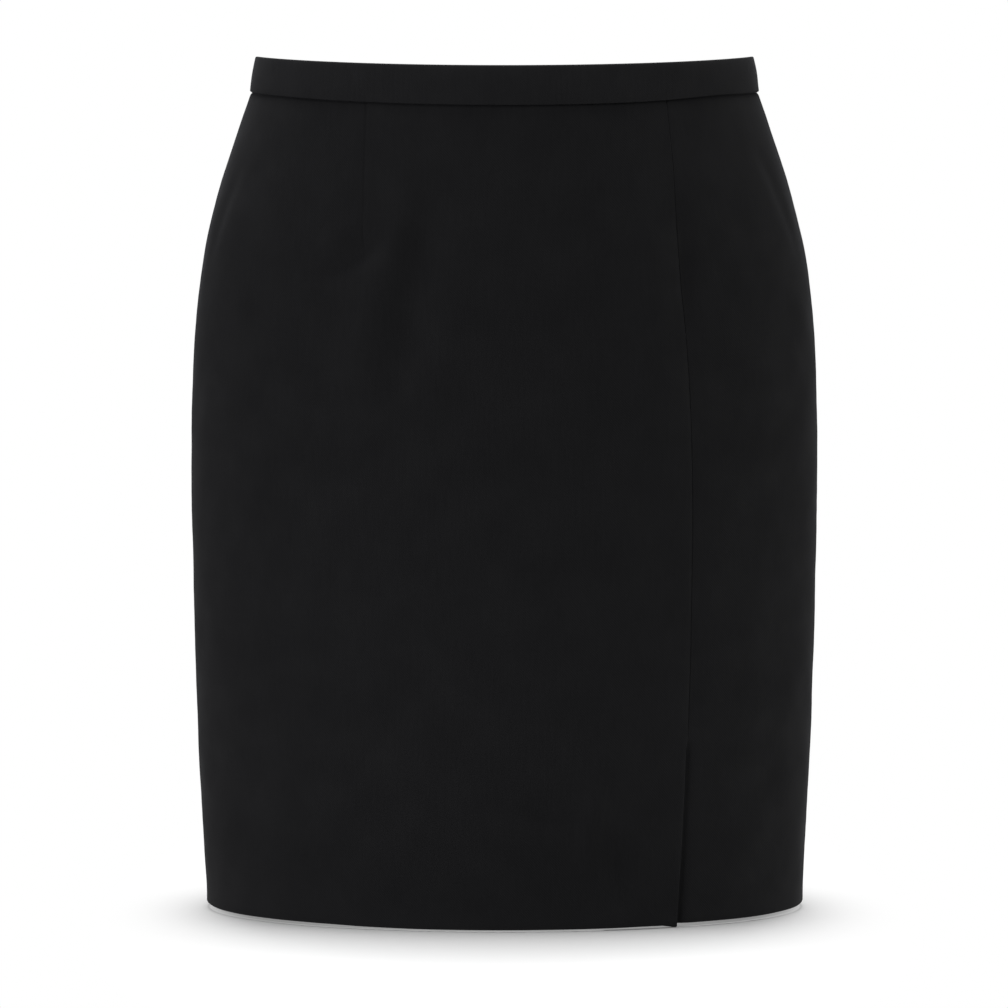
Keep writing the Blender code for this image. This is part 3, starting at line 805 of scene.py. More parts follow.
def sew(name, paths, stitch, pitch, wobble, seed):
    """Repeats a stitch along paths, each given by its points and the ways out of the cloth there."""
    points = np.concatenate([path for path, _ in paths])
    out = np.concatenate([way for _, way in paths])
    edges, start = [], 0
    for path, _ in paths:
        edges += [(start + k, start + k + 1) for k in range(len(path) - 1)]
        start += len(path)
    mesh = bpy.data.meshes.new(name)
    mesh.from_pydata((points * MM).tolist(), edges, [])
    ways = mesh.attributes.new("out", "FLOAT_VECTOR", "POINT")
    ways.data.foreach_set("vector", out.astype(np.float32).ravel())
    seam = placed(name, mesh)
    nodes = seam.modifiers.new("stitches", "NODES")
    nodes.node_group = stitching
    values = {"Stitch": stitch, "Pitch": pitch * MM, "Wobble": math.radians(wobble), "Seed": seed,
              "Thread": stitch.data.materials[0]}
    for item in stitching.interface.items_tree:
        if item.name in values:
            nodes[item.identifier] = values[item.name]
    keep_result(seam, nodes)
    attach(seam, "skirt")
    return seam


def spun_thread(name):
    """Spun polyester sewing thread: dull black, with a painted highlight where its short fibres stand up."""
    fibre_length = 0.0004
    finish, tree, shader = new_finish(name)
    place = add_node(tree, "ShaderNodeTexCoord").outputs["Object"]
    fibre = add_node(tree, "ShaderNodeTexNoise", None, {"Vector": place, "Scale": 1 / fibre_length})
    # Painted highlight: the thread is painted lighter where its fibres stand up.
    colour = add_node(tree, "ShaderNodeMix", {"data_type": "RGBA"},
                      {0: fibre, 6: linear("#0e0e10"), 7: linear("#232326")})
    bump = add_node(tree, "ShaderNodeBump", None, {"Height": fibre, "Strength": 0.3, "Distance": 0.00005})
    set_inputs(tree, shader, {"Base Color": colour.outputs[2], "Roughness": 0.62, "Normal": bump,
                              "Specular IOR Level": 0.3})
    return finish


thread = spun_thread("black spun polyester thread")
THREAD_RADIUS = 0.15            # 0.3 mm thread, drawn a little thicker than it is
OVERLOCK_PITCH = 3.0
OVERLOCK_WIDTH = 4.2
HALF_PITCH = OVERLOCK_PITCH / 2
overlock_stitch = thread_mesh("overlock_stitch", (
    ((-HALF_PITCH, -0.2, -0.35), (-HALF_PITCH + 0.1, 0.1, 0.16), (-0.25, OVERLOCK_WIDTH, 0.18),
     (0.25, OVERLOCK_WIDTH, 0.18), (HALF_PITCH - 0.1, 0.1, 0.16), (HALF_PITCH, -0.2, -0.35)),
    ((-HALF_PITCH, -0.2, -0.1), (HALF_PITCH, -0.2, -0.1)),
    ((-HALF_PITCH + 0.2, OVERLOCK_WIDTH, 0.1), (HALF_PITCH - 0.2, OVERLOCK_WIDTH, 0.1)),
), THREAD_RADIUS, thread)
BLIND_PITCH = 8.0
blind_stitch = thread_mesh("blind_stitch", (
    ((-2.4, 1.6, 0.05), (-1.7, 1.2, 0.22), (-0.5, -0.5, 0.0), (0.0, -1.7, -1.9), (0.5, -0.5, 0.0),
     (1.7, 1.2, 0.22), (2.4, 1.6, 0.05)),
), THREAD_RADIUS, thread)
ROWS_BEHIND_BAND = 5            # as many rows of the face lie behind the waistband's inner layer
SEWN_FROM = len(RISES_IN_BAND) + ROWS_BEHIND_BAND
HEM_ROWS = len(TURNING_RISES) + len(HEM_TURNS)
EDGE_COLUMNS = len(FLAP_SHARES) + len(FOLD_TURNS)


def finish_edges(panel, points, first_edges=None):
    """Overlocks a panel's raw edges and blind stitches its hem.

    The first edges stand in for the edge down the panel's first column, where that is flat cloth.
    """
    out = grid_normals(points)
    down = (points[0, SEWN_FROM:-HEM_ROWS], out[0, SEWN_FROM:-HEM_ROWS])
    start = 0 if first_edges else EDGE_COLUMNS
    along = (points[start:-EDGE_COLUMNS, -1], out[start:-EDGE_COLUMNS, -1])
    up = (points[-1, SEWN_FROM:-HEM_ROWS][::-1], out[-1, SEWN_FROM:-HEM_ROWS][::-1])
    edges = [*(first_edges or [down]), along, up]
    overlock = sew(f"{panel}_overlock", edges, overlock_stitch, OVERLOCK_PITCH, wobble=5, seed=3)
    blind = sew(f"{panel}_hem_stitches", [along], blind_stitch, BLIND_PITCH, wobble=6, seed=8)
    return [overlock, blind]


front_columns = face_between(side_line(-1), princess_line, front_dart_line)
front_points = panel_points(front_columns, plain_flap, corner_sag)
vent_points = panel_points(front_columns, front_flap, corner_sag, draw=True)
past_side_edge = EDGE_COLUMNS + len(EDGE_STEPS)
front_points[past_side_edge:] = vent_points[past_side_edge:]
front = panel_sheet("front_panel", front_columns, front_points, kept_cells(front_columns, front_points),
                    vent_edge=True)
front_intake = dart_intake("front_dart_intake", front_dart_line, DART_TIP, 1)
declare_sheet(front,
              with_pieces=[front_intake, *finish_edges("front_panel", front_points)])


# ==================================================================== side front and vent
# The side front runs from the princess seam to the left side seam. Its allowance is clipped at the
# vent's top: above it is pressed open, and below it a wider one runs on behind the front as the
# vent's underlap, with its own turned hem.

LAP_WIDTH = 45.0
LAP_INSET = 1.95                # behind the front's facing
LAP_HEM_INSET = 2.55            # and behind its turned hem
LAP_HEM_FROM = 1.5              # which it sinks to within this many times the hem's turning
LAP_SLANT = 12.0                # its top edge falls by this much over its width,
LAP_SLANT_ROWS = 6.0            # and the rows below it by less and less
LAP_SHORT = 0.3                 # its hem ends above the front's,
LAP_SHORT_EASED = 0.6           # and by less away from the vent
LAP_SHORT_REACH = 70.0
SINK_REACH = 10.0               # the side front rises back to the surface over this distance,
SINK_EDGE = 4.0                 # and most steeply beside the edge
SINK_STEEP = 0.55
SINK_START = 14.0               # it sinks over this length below the vent's top,
SINK_BEHIND = 3.0               # but at once where it lies this far behind the front


def lap_sink(angle, drop):
    """How deep the side front lies behind the front's vent edge, and how it rises beside it."""
    below = drop - VENT_TOP
    at_hem = ease(LAP_HEM_FROM - (HEM_DROP - drop) / HEM_TURN)
    deep = LAP_INSET + (LAP_HEM_INSET - LAP_INSET) * at_hem
    from_edge = distance_from(princess_line, angle, drop)
    rising = SINK_STEEP * ease(from_edge / SINK_EDGE) + (1 - SINK_STEEP) * ease(from_edge / SINK_REACH)
    started = ease(below / SINK_START)
    behind = ease(-from_edge / SINK_BEHIND)
    return (below > 0) * deep * (1 - rising) * (started + (1 - started) * behind)


def side_front_sag(column):
    from_vent = float(distance_from(princess_line, column.line(HEM_DROP), HEM_DROP)) + column.distance
    return -LAP_SHORT * (1 - LAP_SHORT_EASED * ease(from_vent / LAP_SHORT_REACH))


side_front_columns = face_between(princess_line, side_line(1))
sewn_points = panel_points(side_front_columns, plain_flap, side_front_sag, lap_sink)
unfolded = [Column(princess_line, column.distance - (2 * FOLD_RADIUS if column.layer > FOLD_RADIUS else 0),
                   -column.flap * LAP_WIDTH / ALLOWANCE, 0.0)
            for column in side_front_columns[:EDGE_COLUMNS]]
lap_points = panel_points(unfolded, plain_flap, side_front_sag, lap_sink)
vent_row = int(np.argmax(-sewn_points[EDGE_COLUMNS, :, 2] > VENT_TOP))
from_top = np.arange(sewn_points.shape[1] - vent_row)
for i, share in enumerate(FLAP_SHARES):
    lap_points[i, vent_row:, 2] -= LAP_SLANT * share * np.exp(-from_top / LAP_SLANT_ROWS)
side_front_points = sewn_points.copy()
side_front_points[:EDGE_COLUMNS, vent_row:] = lap_points[:, vent_row:]
side_front_cells = kept_cells(side_front_columns, sewn_points)
side_front_cells[:len(FLAP_SHARES), vent_row - 1] = False
side_front = panel_sheet("side_front_panel", side_front_columns, side_front_points, side_front_cells)
sewn_out, lap_out = grid_normals(sewn_points), -grid_normals(lap_points)
sewn_edge = (sewn_points[0, SEWN_FROM:vent_row - 1], sewn_out[0, SEWN_FROM:vent_row - 1])
lap_edge = ((lap_points + lap_out * CLOTH_THICKNESS)[0, vent_row:-HEM_ROWS][::-1],
            lap_out[0, vent_row:-HEM_ROWS][::-1])
declare_sheet(side_front,
              with_pieces=finish_edges("side_front_panel", side_front_points, [sewn_edge, lap_edge]))


# ==================================================================== back panels
# The back is cut in two halves with a dart each, sewn together at the centre back below the zip.
# Their edges are finished as the front's are.

for side, half in ((1, "left"), (-1, "right")):
    lines = (side_line(side), centre_back_line(side))[::side]
    back_columns = face_between(*lines, back_dart_line(side))
    back_points = panel_points(back_columns, plain_flap)
    back = panel_sheet(f"back_panel_{half}", back_columns, back_points,
                       kept_cells(back_columns, back_points))
    back_intake = dart_intake(f"back_dart_intake_{half}", back_dart_line(side), BACK_DART_TIP, side)
    declare_sheet(back,
                  with_pieces=[back_intake, *finish_edges(f"back_panel_{half}", back_points)])


# ==================================================================== waistband
# The contour waistband is interfaced suiting, folded at its top edge. Its lower edge is turned under
# and sewn over the panels, and its inner layer is caught down over their allowances.

BAND_TURNING = 9.0
TURNING_ROWS = 3
BAND_FOLD_RADIUS = 0.6
TOP_ROLL = BAND_WALL / 2
BAND_TURNS = np.radians(np.linspace(0, 180, 9))
BAND_PUFF = 0.42                # the interfaced face is a little fuller between its edges,
BAND_FACE_ROWS = 9
BAND_WAVER = 0.14               # and a little uneven
BAND_WAVER_RATE = 1.7           # in shorter waves than the panels'
BAND_WAVER_FROM = 20.0
INNER_FLARE = 0.75              # its inner layer stands off over the allowances
INNER_FLARE_FOOT = 0.5
INNER_FLARE_TOP = 5.0
INNER_FOOT = 2.4                # and ends this far below the seam
INNER_ROWS = 7
BAND_STEP = 3.0
BAND_END = 0.8                  # its ends are rounded over this distance,
BAND_TIPS = 5                   # in this many columns,
BAND_TIP_POWER = 1.5            # closer together towards the end,
BAND_END_WALL = 0.3             # down to this share of its wall
TOP_FOLD_HIGHLIGHT_ROWS = 3.0            # its top fold gets the painted highlight over so many rows


def band_profile(height):
    """Rises and insets from the inner layer's foot, over the top fold, to the turned lower edge."""
    inner = [(rise, BAND_WALL + INNER_FLARE * (1 - ease((rise - INNER_FLARE_FOOT) / INNER_FLARE_TOP)))
             for rise in (*np.linspace(-INNER_FOOT, INNER_FLARE_TOP, INNER_ROWS),
                          *np.linspace(INNER_FLARE_TOP, height - TOP_ROLL, INNER_ROWS)[1:-1])]
    top = [(height - TOP_ROLL + out, BAND_WALL - deep) for out, deep in round_fold(TOP_ROLL, BAND_TURNS)]
    foot = SEAM_GAP / 2 + BAND_FOLD_RADIUS
    face = [(rise, 0.0) for rise in np.linspace(height - TOP_ROLL, foot, BAND_FACE_ROWS)[1:-1]]
    roll = [(foot - out, deep) for out, deep in round_fold(BAND_FOLD_RADIUS, BAND_TURNS)]
    turning = [(rise, 2 * BAND_FOLD_RADIUS) for rise in np.linspace(foot, BAND_TURNING, TURNING_ROWS + 1)[1:]]
    return np.array(inner + top + face + roll + turning)


def band_points(start, end):
    """The grid of one piece of the waistband from one angle round to another, with its ends rounded."""
    step = BAND_STEP / mm_per_degree((start + end) / 2, 0.0)
    tips = np.linspace(0, 1, BAND_TIPS) ** BAND_TIP_POWER * BAND_END / mm_per_degree(start, 0.0)
    inside = np.linspace(start + tips[-1], end - tips[-1], math.ceil((end - start) / step))
    angles = np.concatenate([start + tips[:-1], inside, end - tips[:-1][::-1]])
    points = []
    for angle in angles:
        height = float(band_height(angle))
        rise, inset = band_profile(height).T
        full = np.clip(1 - ((rise - height / 2) / (height / 2)) ** 2, 0, 1)
        waver = BAND_WAVER * unevenness(angle + 0 * rise, -rise * BAND_WAVER_RATE - BAND_WAVER_FROM)
        on_face = inset < TOP_ROLL
        to_end = min(abs(angle - start), abs(end - angle)) * float(mm_per_degree(angle, 0.0)) / BAND_END
        open_share = math.sqrt(max(0.0, 1 - (1 - min(to_end, 1.0)) ** 2))
        inset = TOP_ROLL + (inset - TOP_ROLL) * (BAND_END_WALL + (1 - BAND_END_WALL) * open_share)
        inset = inset - on_face * full * (BAND_PUFF + waver)
        points.append(band(angle + 0 * rise, rise, inset))
    return np.array(points)


def band_cloth(name, points, finish):
    kept = all_cells(points)
    kept[:BAND_TIPS, -TURNING_ROWS:] = False
    kept[-BAND_TIPS:, -TURNING_ROWS:] = False
    # Painted highlight along the top fold, as on the panels' pressed folds.
    top_row = np.argmax(points[len(points) // 2, :, 2])
    from_top = np.arange(points.shape[1]) - top_row
    mark = np.exp(-(from_top / TOP_FOLD_HIGHLIGHT_ROWS) ** 2) * np.ones((len(points), 1))
    return sheet_object(name, points, kept, finish, pressed=mark)


LOCK_PITCH = 2.6
lock_stitch = thread_mesh("lock_stitch", (
    ((-1.1, 0.0, -0.12), (-0.9, 0.0, 0.1), (0.0, 0.0, 0.14), (0.9, 0.0, 0.1), (1.1, 0.0, -0.12)),
), THREAD_RADIUS, thread)
# The waistband is the panels' suiting painted a little lighter, as painted light on the band.
band_suiting_painted_lighter = worsted_suiting("black worsted suiting, interfaced", "#141415", "#1b1b1c")
ZIP_PART = 0.9
side_part = float(SEAM_GAP / 2 / mm_per_degree(90.0, 0.0))
zip_part = float(ZIP_PART / mm_per_degree(180.0, WAIST_DIP))
BAND_PIECES = (
    ("waistband_front", side_part - 90, 90 - side_part),
    ("waistband_back_left", 90 + side_part, 180 - zip_part),
    ("waistband_back_right", zip_part - 180, -90 - side_part),
)
for node, start, end in BAND_PIECES:
    points = band_points(start, end)
    band_piece = band_cloth(f"{node}_cloth", points, band_suiting_painted_lighter)
    stand_in(band_piece, node)
    caught = (points[BAND_TIPS:-BAND_TIPS, 1], grid_normals(points)[BAND_TIPS:-BAND_TIPS, 1])
    stitches = sew(f"{node}_stitches", [caught], lock_stitch, LOCK_PITCH, wobble=4, seed=5)
    declare_sheet(band_piece, with_pieces=[stitches])


# ==================================================================== zip
# The concealed zip at the centre back: two woven tapes sewn to the allowances, with a nylon coil along
# the folded edge of each. Its slider is black lacquered brass, and its pull tab hangs outside.

TAPE_WIDTH = 11.0
TAPE_THICKNESS = 0.35
TAPE_INSET = 1.5                # on the allowances,
TAPE_BAND_INSET = 2.45          # and behind the waistband's inner layer,
TAPE_BAND_FOOT = 4.0            # which it leaves below the seam
TAPE_BAND_FADE = 12.0
TAPE_TOP_CLEAR = 1.5
TAPE_FOOT_DROP = 185.0
ZIP_ROWS = (14, 61)             # its rows above the waist seam and below it,
ZIP_ROWS_FROM = (1.2, 0.4)      # which start this far from the seam
TAPE_SHARES = (1.0, 0.82, 0.64, 0.46, 0.3, 0.18, 0.1)
TAPE_FOLD = 0.45
TAPE_BACK = 1.6                 # its folded edge carries the coil, out to here
TAPE_STITCHED = 5.5
COIL_PITCH = 1.2
COIL_WIDTH = 0.75
COIL_DEPTH = 0.6
COIL_THREAD_RADIUS = 0.22
COIL_STEPS = 9
COIL_INSET = 2 * TAPE_FOLD + COIL_DEPTH + 0.2
COIL_ROWS = slice(1, -4)
COIL_APART = 0.62               # from the centre back to each coil's middle,
SLIDER_SPREAD = 0.8             # and how much further the slider spreads them,
SLIDER_FOOT = 11.5              # above this far from the tapes' upper ends
SLIDER_FADE = 5.0

zip_rises = np.linspace(float(band_height(180.0)) - TAPE_TOP_CLEAR, ZIP_ROWS_FROM[0], ZIP_ROWS[0])
zip_drops = np.linspace(float(waist_drop(180.0)) + ZIP_ROWS_FROM[1], TAPE_FOOT_DROP, ZIP_ROWS[1])


def zip_line(side, distance, depth):
    """Points down the zip, this far from the centre back and this deep behind the tape's face."""
    distance = distance + np.zeros(len(zip_rises) + len(zip_drops))
    angle = side * (180 - distance / mm_per_degree(180.0, WAIST_DIP))
    upper = band(angle[:len(zip_rises)], zip_rises, BAND_PROUD + TAPE_BAND_INSET + depth)
    angle = side * (180 - distance[len(zip_rises):] / mm_per_degree(180.0, zip_drops))
    behind_band = 1 - ease((zip_drops - waist_drop(180.0) - TAPE_BAND_FOOT) / TAPE_BAND_FADE)
    inset = TAPE_INSET + (TAPE_BAND_INSET - TAPE_INSET) * behind_band + depth
    return np.concatenate([upper, cloth(angle, zip_drops, inset)])


def woven_tape(name):
    """Woven polyester zip tape, black: a herringbone with 0.9 mm ribs, which shade it faintly up close."""
    rib_width, weft = 0.0009, 0.0005
    finish, tree, shader = new_finish(name)
    cut = add_node(tree, "ShaderNodeTexCoord").outputs["UV"]
    place = add_node(tree, "ShaderNodeSeparateXYZ", None, {0: cut})
    zigzag = add_node(tree, "ShaderNodeMath", {"operation": "PINGPONG"}, {0: place, 1: rib_width})
    slant = add_node(tree, "ShaderNodeMath", {"operation": "ADD"}, {0: zigzag, 1: place.outputs[1]})
    phase = add_node(tree, "ShaderNodeMath", {"operation": "MULTIPLY"}, {0: slant, 1: 2 * math.pi / weft})
    rib = add_node(tree, "ShaderNodeMath", {"operation": "SINE"}, {0: phase})
    lint = add_node(tree, "ShaderNodeTexNoise", None, {"Vector": cut, "Scale": 1 / weft, "Detail": 2.0})
    height = add_node(tree, "ShaderNodeMath", {"operation": "ADD"}, {0: rib, 1: lint})
    bump = add_node(tree, "ShaderNodeBump", None, {"Height": height, "Strength": 0.6, "Distance": 0.00008})
    # Painted shade: the tape is painted darker where its weave lies lower.
    share = add_node(tree, "ShaderNodeMapRange", None, {"Value": height, "From Min": -1.0, "From Max": 2.0})
    colour = add_node(tree, "ShaderNodeMix", {"data_type": "RGBA"},
                      {0: share, 6: linear("#0d0d0e"), 7: linear("#1d1d1f")})
    rough = add_node(tree, "ShaderNodeMapRange", None, {"Value": lint, "To Min": 0.6, "To Max": 0.85})
    set_inputs(tree, shader, {"Base Color": colour.outputs[2], "Roughness": rough, "Normal": bump,
                              "Specular IOR Level": 0.2})
    return finish


def nylon(name):
    """Black nylon monofilament: smooth, with the long soft highlights of drawn plastic."""
    haze_length = 0.0015
    finish, tree, shader = new_finish(name)
    place = add_node(tree, "ShaderNodeTexCoord").outputs["Object"]
    haze = add_node(tree, "ShaderNodeTexNoise", None, {"Vector": place, "Scale": 1 / haze_length})
    colour = add_node(tree, "ShaderNodeMix", {"data_type": "RGBA"},
                      {0: haze, 6: linear("#101011"), 7: linear("#1a1a1c")})
    rough = add_node(tree, "ShaderNodeMapRange", None, {"Value": haze, "To Min": 0.28, "To Max": 0.45})
    set_inputs(tree, shader, {"Base Color": colour.outputs[2], "Roughness": rough})
    return finish


def lacquered_brass(name):
    """Brass under black lacquer: a satin coat, faintly uneven, with the brass rubbed bare in a few specks."""
    ripple, speck = 0.0008, 0.0005
    finish, tree, shader = new_finish(name)
    place = add_node(tree, "ShaderNodeTexCoord").outputs["Object"]
    coat = add_node(tree, "ShaderNodeTexNoise", None, {"Vector": place, "Scale": 1 / ripple, "Detail": 2.0})
    chips = add_node(tree, "ShaderNodeTexNoise", None, {"Vector": place, "Scale": 1 / speck, "Detail": 3.0})
    bare = add_node(tree, "ShaderNodeMapRange", None, {"Value": chips, "From Min": 0.72, "From Max": 0.78})
    lacquer = add_node(tree, "ShaderNodeMix", {"data_type": "RGBA"},
                       {0: coat, 6: linear("#111112"), 7: linear("#222224")})
    colour = add_node(tree, "ShaderNodeMix", {"data_type": "RGBA"},
                      {0: bare, 6: lacquer.outputs[2], 7: linear("#8d7447")})
    rough = add_node(tree, "ShaderNodeMapRange", None, {"Value": coat, "To Min": 0.22, "To Max": 0.42})
    bump = add_node(tree, "ShaderNodeBump", None, {"Height": coat, "Strength": 0.25, "Distance": 0.00005})
    set_inputs(tree, shader, {"Base Color": colour.outputs[2], "Metallic": bare, "Roughness": rough,
                              "Normal": bump})
    return finish


tape_weave = woven_tape("black woven zip tape")
monofilament = nylon("black nylon monofilament")
tape_profile = ([(ZIP_PART + TAPE_WIDTH * share, 0.0) for share in TAPE_SHARES]
                + [(ZIP_PART + TAPE_FOLD - out, deep) for out, deep in round_fold(TAPE_FOLD)]
                + [(TAPE_BACK, 2 * TAPE_FOLD)])
past_slider = np.concatenate([zip_rises - zip_rises[0] + SLIDER_FOOT, 0 * zip_drops])
coil_middle = COIL_APART + SLIDER_SPREAD * ease(past_slider / SLIDER_FADE)
for side, half in ((1, "left"), (-1, "right")):
    tape_points = np.array([zip_line(side, distance, depth) for distance, depth in tape_profile[::side]])
    tape = sheet_object(f"zip_tape_{half}_weave", tape_points, all_cells(tape_points), tape_weave,
                        thickness=TAPE_THICKNESS)
    stand_in(tape, f"zip_tape_{half}")
    outside = grid_normals(tape_points)[::side][1]
    start = 0.5 if side == 1 else 0.0       # the coils mesh half a turn apart
    coil_turn = thread_mesh(f"coil_turn_{half}", (
        [(COIL_PITCH * (turn / (2 * math.pi) - start), COIL_WIDTH * math.cos(turn),
          COIL_DEPTH * math.sin(turn)) for turn in np.linspace(0, 2 * math.pi, COIL_STEPS)],
    ), COIL_THREAD_RADIUS, monofilament)
    coil_line = (zip_line(side, coil_middle, COIL_INSET)[COIL_ROWS], outside[COIL_ROWS])
    coil = sew(f"zip_coil_{half}", [coil_line], coil_turn, COIL_PITCH, wobble=0, seed=1)
    sewn_line = (zip_line(side, ZIP_PART + TAPE_STITCHED, TAPE_THICKNESS)[1:-1], -outside[1:-1])
    sewn = sew(f"zip_tape_{half}_stitches", [sewn_line], lock_stitch, LOCK_PITCH, wobble=3,
               seed=6)
    declare_sheet(tape, with_pieces=[coil, sewn])

TACK_PITCH = 0.34               # a tack across the foot of the coils
TACK_ROWS = slice(-7, -5)
tack_stitch = thread_mesh("tack_stitch", (
    ((0, -1.9, -0.9), (0, -1.5, 0.1), (0, -0.7, 0.75), (0, 0.7, 0.75), (0, 1.5, 0.1), (0, 1.9, -0.9)),
), THREAD_RADIUS, thread)
tack_line = (zip_line(1, 0.0, COIL_INSET)[TACK_ROWS], -outside[TACK_ROWS])
sew("zip_foot_tack", [tack_line], tack_stitch, TACK_PITCH, wobble=8, seed=2)

# The slider is modelled about the pull tab's axis: X along it, Y away from the cloth and Z up the
# waistband. A half width of its body goes with each height.
SLIDER_OUTLINE = ((1.5, 2.6), (2.1, 2.35), (2.4, 1.8), (2.5, 0.9), (2.5, -1.2), (2.2, -3.2), (2.0, -4.8),
                  (1.7, -5.6), (1.1, -6.0))
SLIDER_BACK = -7.7
SLIDER_PLATE = 1.0
SLIDER_EDGE = 0.3
SLIDER_WALL = 0.6
SLIDER_WALL_EDGE = 0.18
SLIDER_LIP = -5.0
NECK_HALF_WIDTH = 0.45
NECK_HALF_HEIGHT = 1.1
NECK_OUTLINE = ((1, 0.75), (0.6, 1), (-0.6, 1), (-1, 0.75), (-1, -0.75), (-0.6, -1), (0.6, -1), (1, -0.75))
NECK_EDGE = 0.05
EYE_MIDDLE = 1.22
EYE_THICKNESS = 0.37
EYE_HALF_WIDTH = 0.6
EYE_STEPS = 24
EYE_SIDES = 10
EDGE_SEGMENTS = 3
SMOOTH_TO = math.radians(50)    # sharper edges are shaded sharp


def brass_plate(bm, outline, low, high, edge):
    """A plate with rounded edges, from an outline in X and Z between two values of Y."""
    back, face = ([bm.verts.new((x, y, z)) for x, z in outline] for y in (low, high))
    sides = [bm.faces.new(back), bm.faces.new(face[::-1])]
    for k in range(len(outline)):
        bm.faces.new((back[k - 1], face[k - 1], face[k], back[k]))
    rims = {rim for side in sides for rim in side.edges}
    bmesh.ops.bevel(bm, geom=list(rims), offset=edge, segments=EDGE_SEGMENTS, profile=0.5, affect="EDGES")


swing = frame["joints"][0]
lacquer = lacquered_brass("black lacquered brass")


def brass_object(name, bm):
    """An object from a mesh that was made about the pull tab's axis."""
    bm.transform(Matrix.Translation(swing["pos_m"]) @ Matrix.Rotation(math.atan(BAND_LEAN_BACK), 4, "X")
                 @ Matrix.Scale(MM, 4))
    mesh = finished_mesh(name, bm, lacquer)
    mesh.set_sharp_from_angle(angle=SMOOTH_TO)
    return placed(name, mesh)


bm = bmesh.new()
outline = list(SLIDER_OUTLINE) + [(-x, z) for x, z in SLIDER_OUTLINE[::-1]]
brass_plate(bm, outline, SLIDER_BACK, SLIDER_BACK + SLIDER_PLATE, SLIDER_EDGE)
walled = SLIDER_OUTLINE[2:-2]
for side in (1, -1):
    wall = [(side * x, z) for x, z in walled] + [(side * (x - SLIDER_WALL), z) for x, z in walled[::-1]]
    brass_plate(bm, wall, SLIDER_BACK + SLIDER_PLATE / 2, SLIDER_LIP, SLIDER_WALL_EDGE)
neck = [(NECK_HALF_WIDTH * x, NECK_HALF_HEIGHT * z) for x, z in NECK_OUTLINE]
brass_plate(bm, neck, SLIDER_BACK + SLIDER_PLATE / 2, -EYE_MIDDLE, NECK_EDGE)
rings = []
for around in full_turn(EYE_STEPS):
    section = [(EYE_HALF_WIDTH * math.sin(turn), EYE_MIDDLE + EYE_THICKNESS * math.cos(turn))
               for turn in full_turn(EYE_SIDES)]
    rings.append([bm.verts.new((x, radius * math.cos(around), radius * math.sin(around)))
                  for x, radius in section])
bridge(bm, rings + rings[:1])
slider = brass_object("zip_slider_brass", bm)
stand_in(slider, "zip_slider")

# The pull tab hangs from the eye in the same frame, with a raised rim, a round foot and a window
# under its top bar.
TAB_HALF_THICKNESS = 0.5
TAB_LENGTH = 17.0
TAB_HEAD = ((1.75, 0.5), (2.2, 0.05), (1.8, -4.0))
TAB_FOOT_RADIUS = 2.8
TAB_FOOT_STEPS = 25
TAB_EDGE = 0.2
TAB_RIM = 0.6
TAB_RECESS = 0.12
TAB_WINDOW_HALF_WIDTH = 0.9
TAB_WINDOW_FOOT = -2.1
TAB_SMOOTH_TO = math.radians(35)

bm = bmesh.new()
foot = [(TAB_FOOT_RADIUS * math.cos(turn), TAB_FOOT_RADIUS * (1 - math.sin(turn)) - TAB_LENGTH)
        for turn in np.linspace(0, math.pi, TAB_FOOT_STEPS)]
outline = list(TAB_HEAD) + foot + [(-x, z) for x, z in TAB_HEAD[::-1]]
brass_plate(bm, outline, -TAB_HALF_THICKNESS, TAB_HALF_THICKNESS, TAB_EDGE)
faces = sorted(bm.faces, key=lambda face: face.calc_area())[-2:]
bmesh.ops.inset_individual(bm, faces=faces, thickness=TAB_RIM)
bmesh.ops.inset_individual(bm, faces=faces, thickness=TAB_RECESS, depth=-TAB_RECESS)
tab = brass_object("zip_pull_tab_brass", bm)
bm = bmesh.new()
window_height = -TAB_HALF_THICKNESS - TAB_WINDOW_FOOT
window_place = Matrix.Translation((0, 0, TAB_WINDOW_FOOT + window_height / 2))
window_size = Matrix.Diagonal((2 * TAB_WINDOW_HALF_WIDTH, 3 * TAB_HALF_THICKNESS, window_height, 1))
bmesh.ops.create_cube(bm, matrix=window_place @ window_size)
window = brass_object("tab_window", bm)
cut = tab.modifiers.new("window", "BOOLEAN")
cut.object = window
keep_result(tab, cut)
tab.data.set_sharp_from_angle(angle=TAB_SMOOTH_TO)
bpy.data.objects.remove(window)
stand_in(tab, "zip_pull_tab", body="pull_tab")


# ==================================================================== studio
# A seamless white floor just below the hem, with a painted shadow under the skirt and a painted glow
# around it. A soft top light shades it, and softboxes high in front, at the left front, at the right
# and behind light the cloth alone.

FLOOR_DROP = 508.5
FLOOR_RADIUS = 1.6
FLOOR_SHADED = 0.38             # a painted glow starts to whiten the floor's shadows here in front and behind,
FLOOR_WHITE = 0.68              # and none from here,
FLOOR_NARROWER = 2.65           # and at the sides so many times nearer
FLOOR_GLOW = 0.1                # even its shaded part glows a little, a painted light
PAINTED_SHADOW_START = 0.955         # a painted shadow darkens it inside the skirt, up to its hem's outline
PAINTED_SHADOW_END = 1.025

floor_mesh = bpy.data.meshes.new("studio_floor")
bm = bmesh.new()
bmesh.ops.create_circle(bm, cap_ends=True, segments=96, radius=FLOOR_RADIUS,
                        matrix=Matrix.Translation((0, 0, -FLOOR_DROP * MM)))
bm.to_mesh(floor_mesh)
bm.free()
floor = placed("studio_floor", floor_mesh)
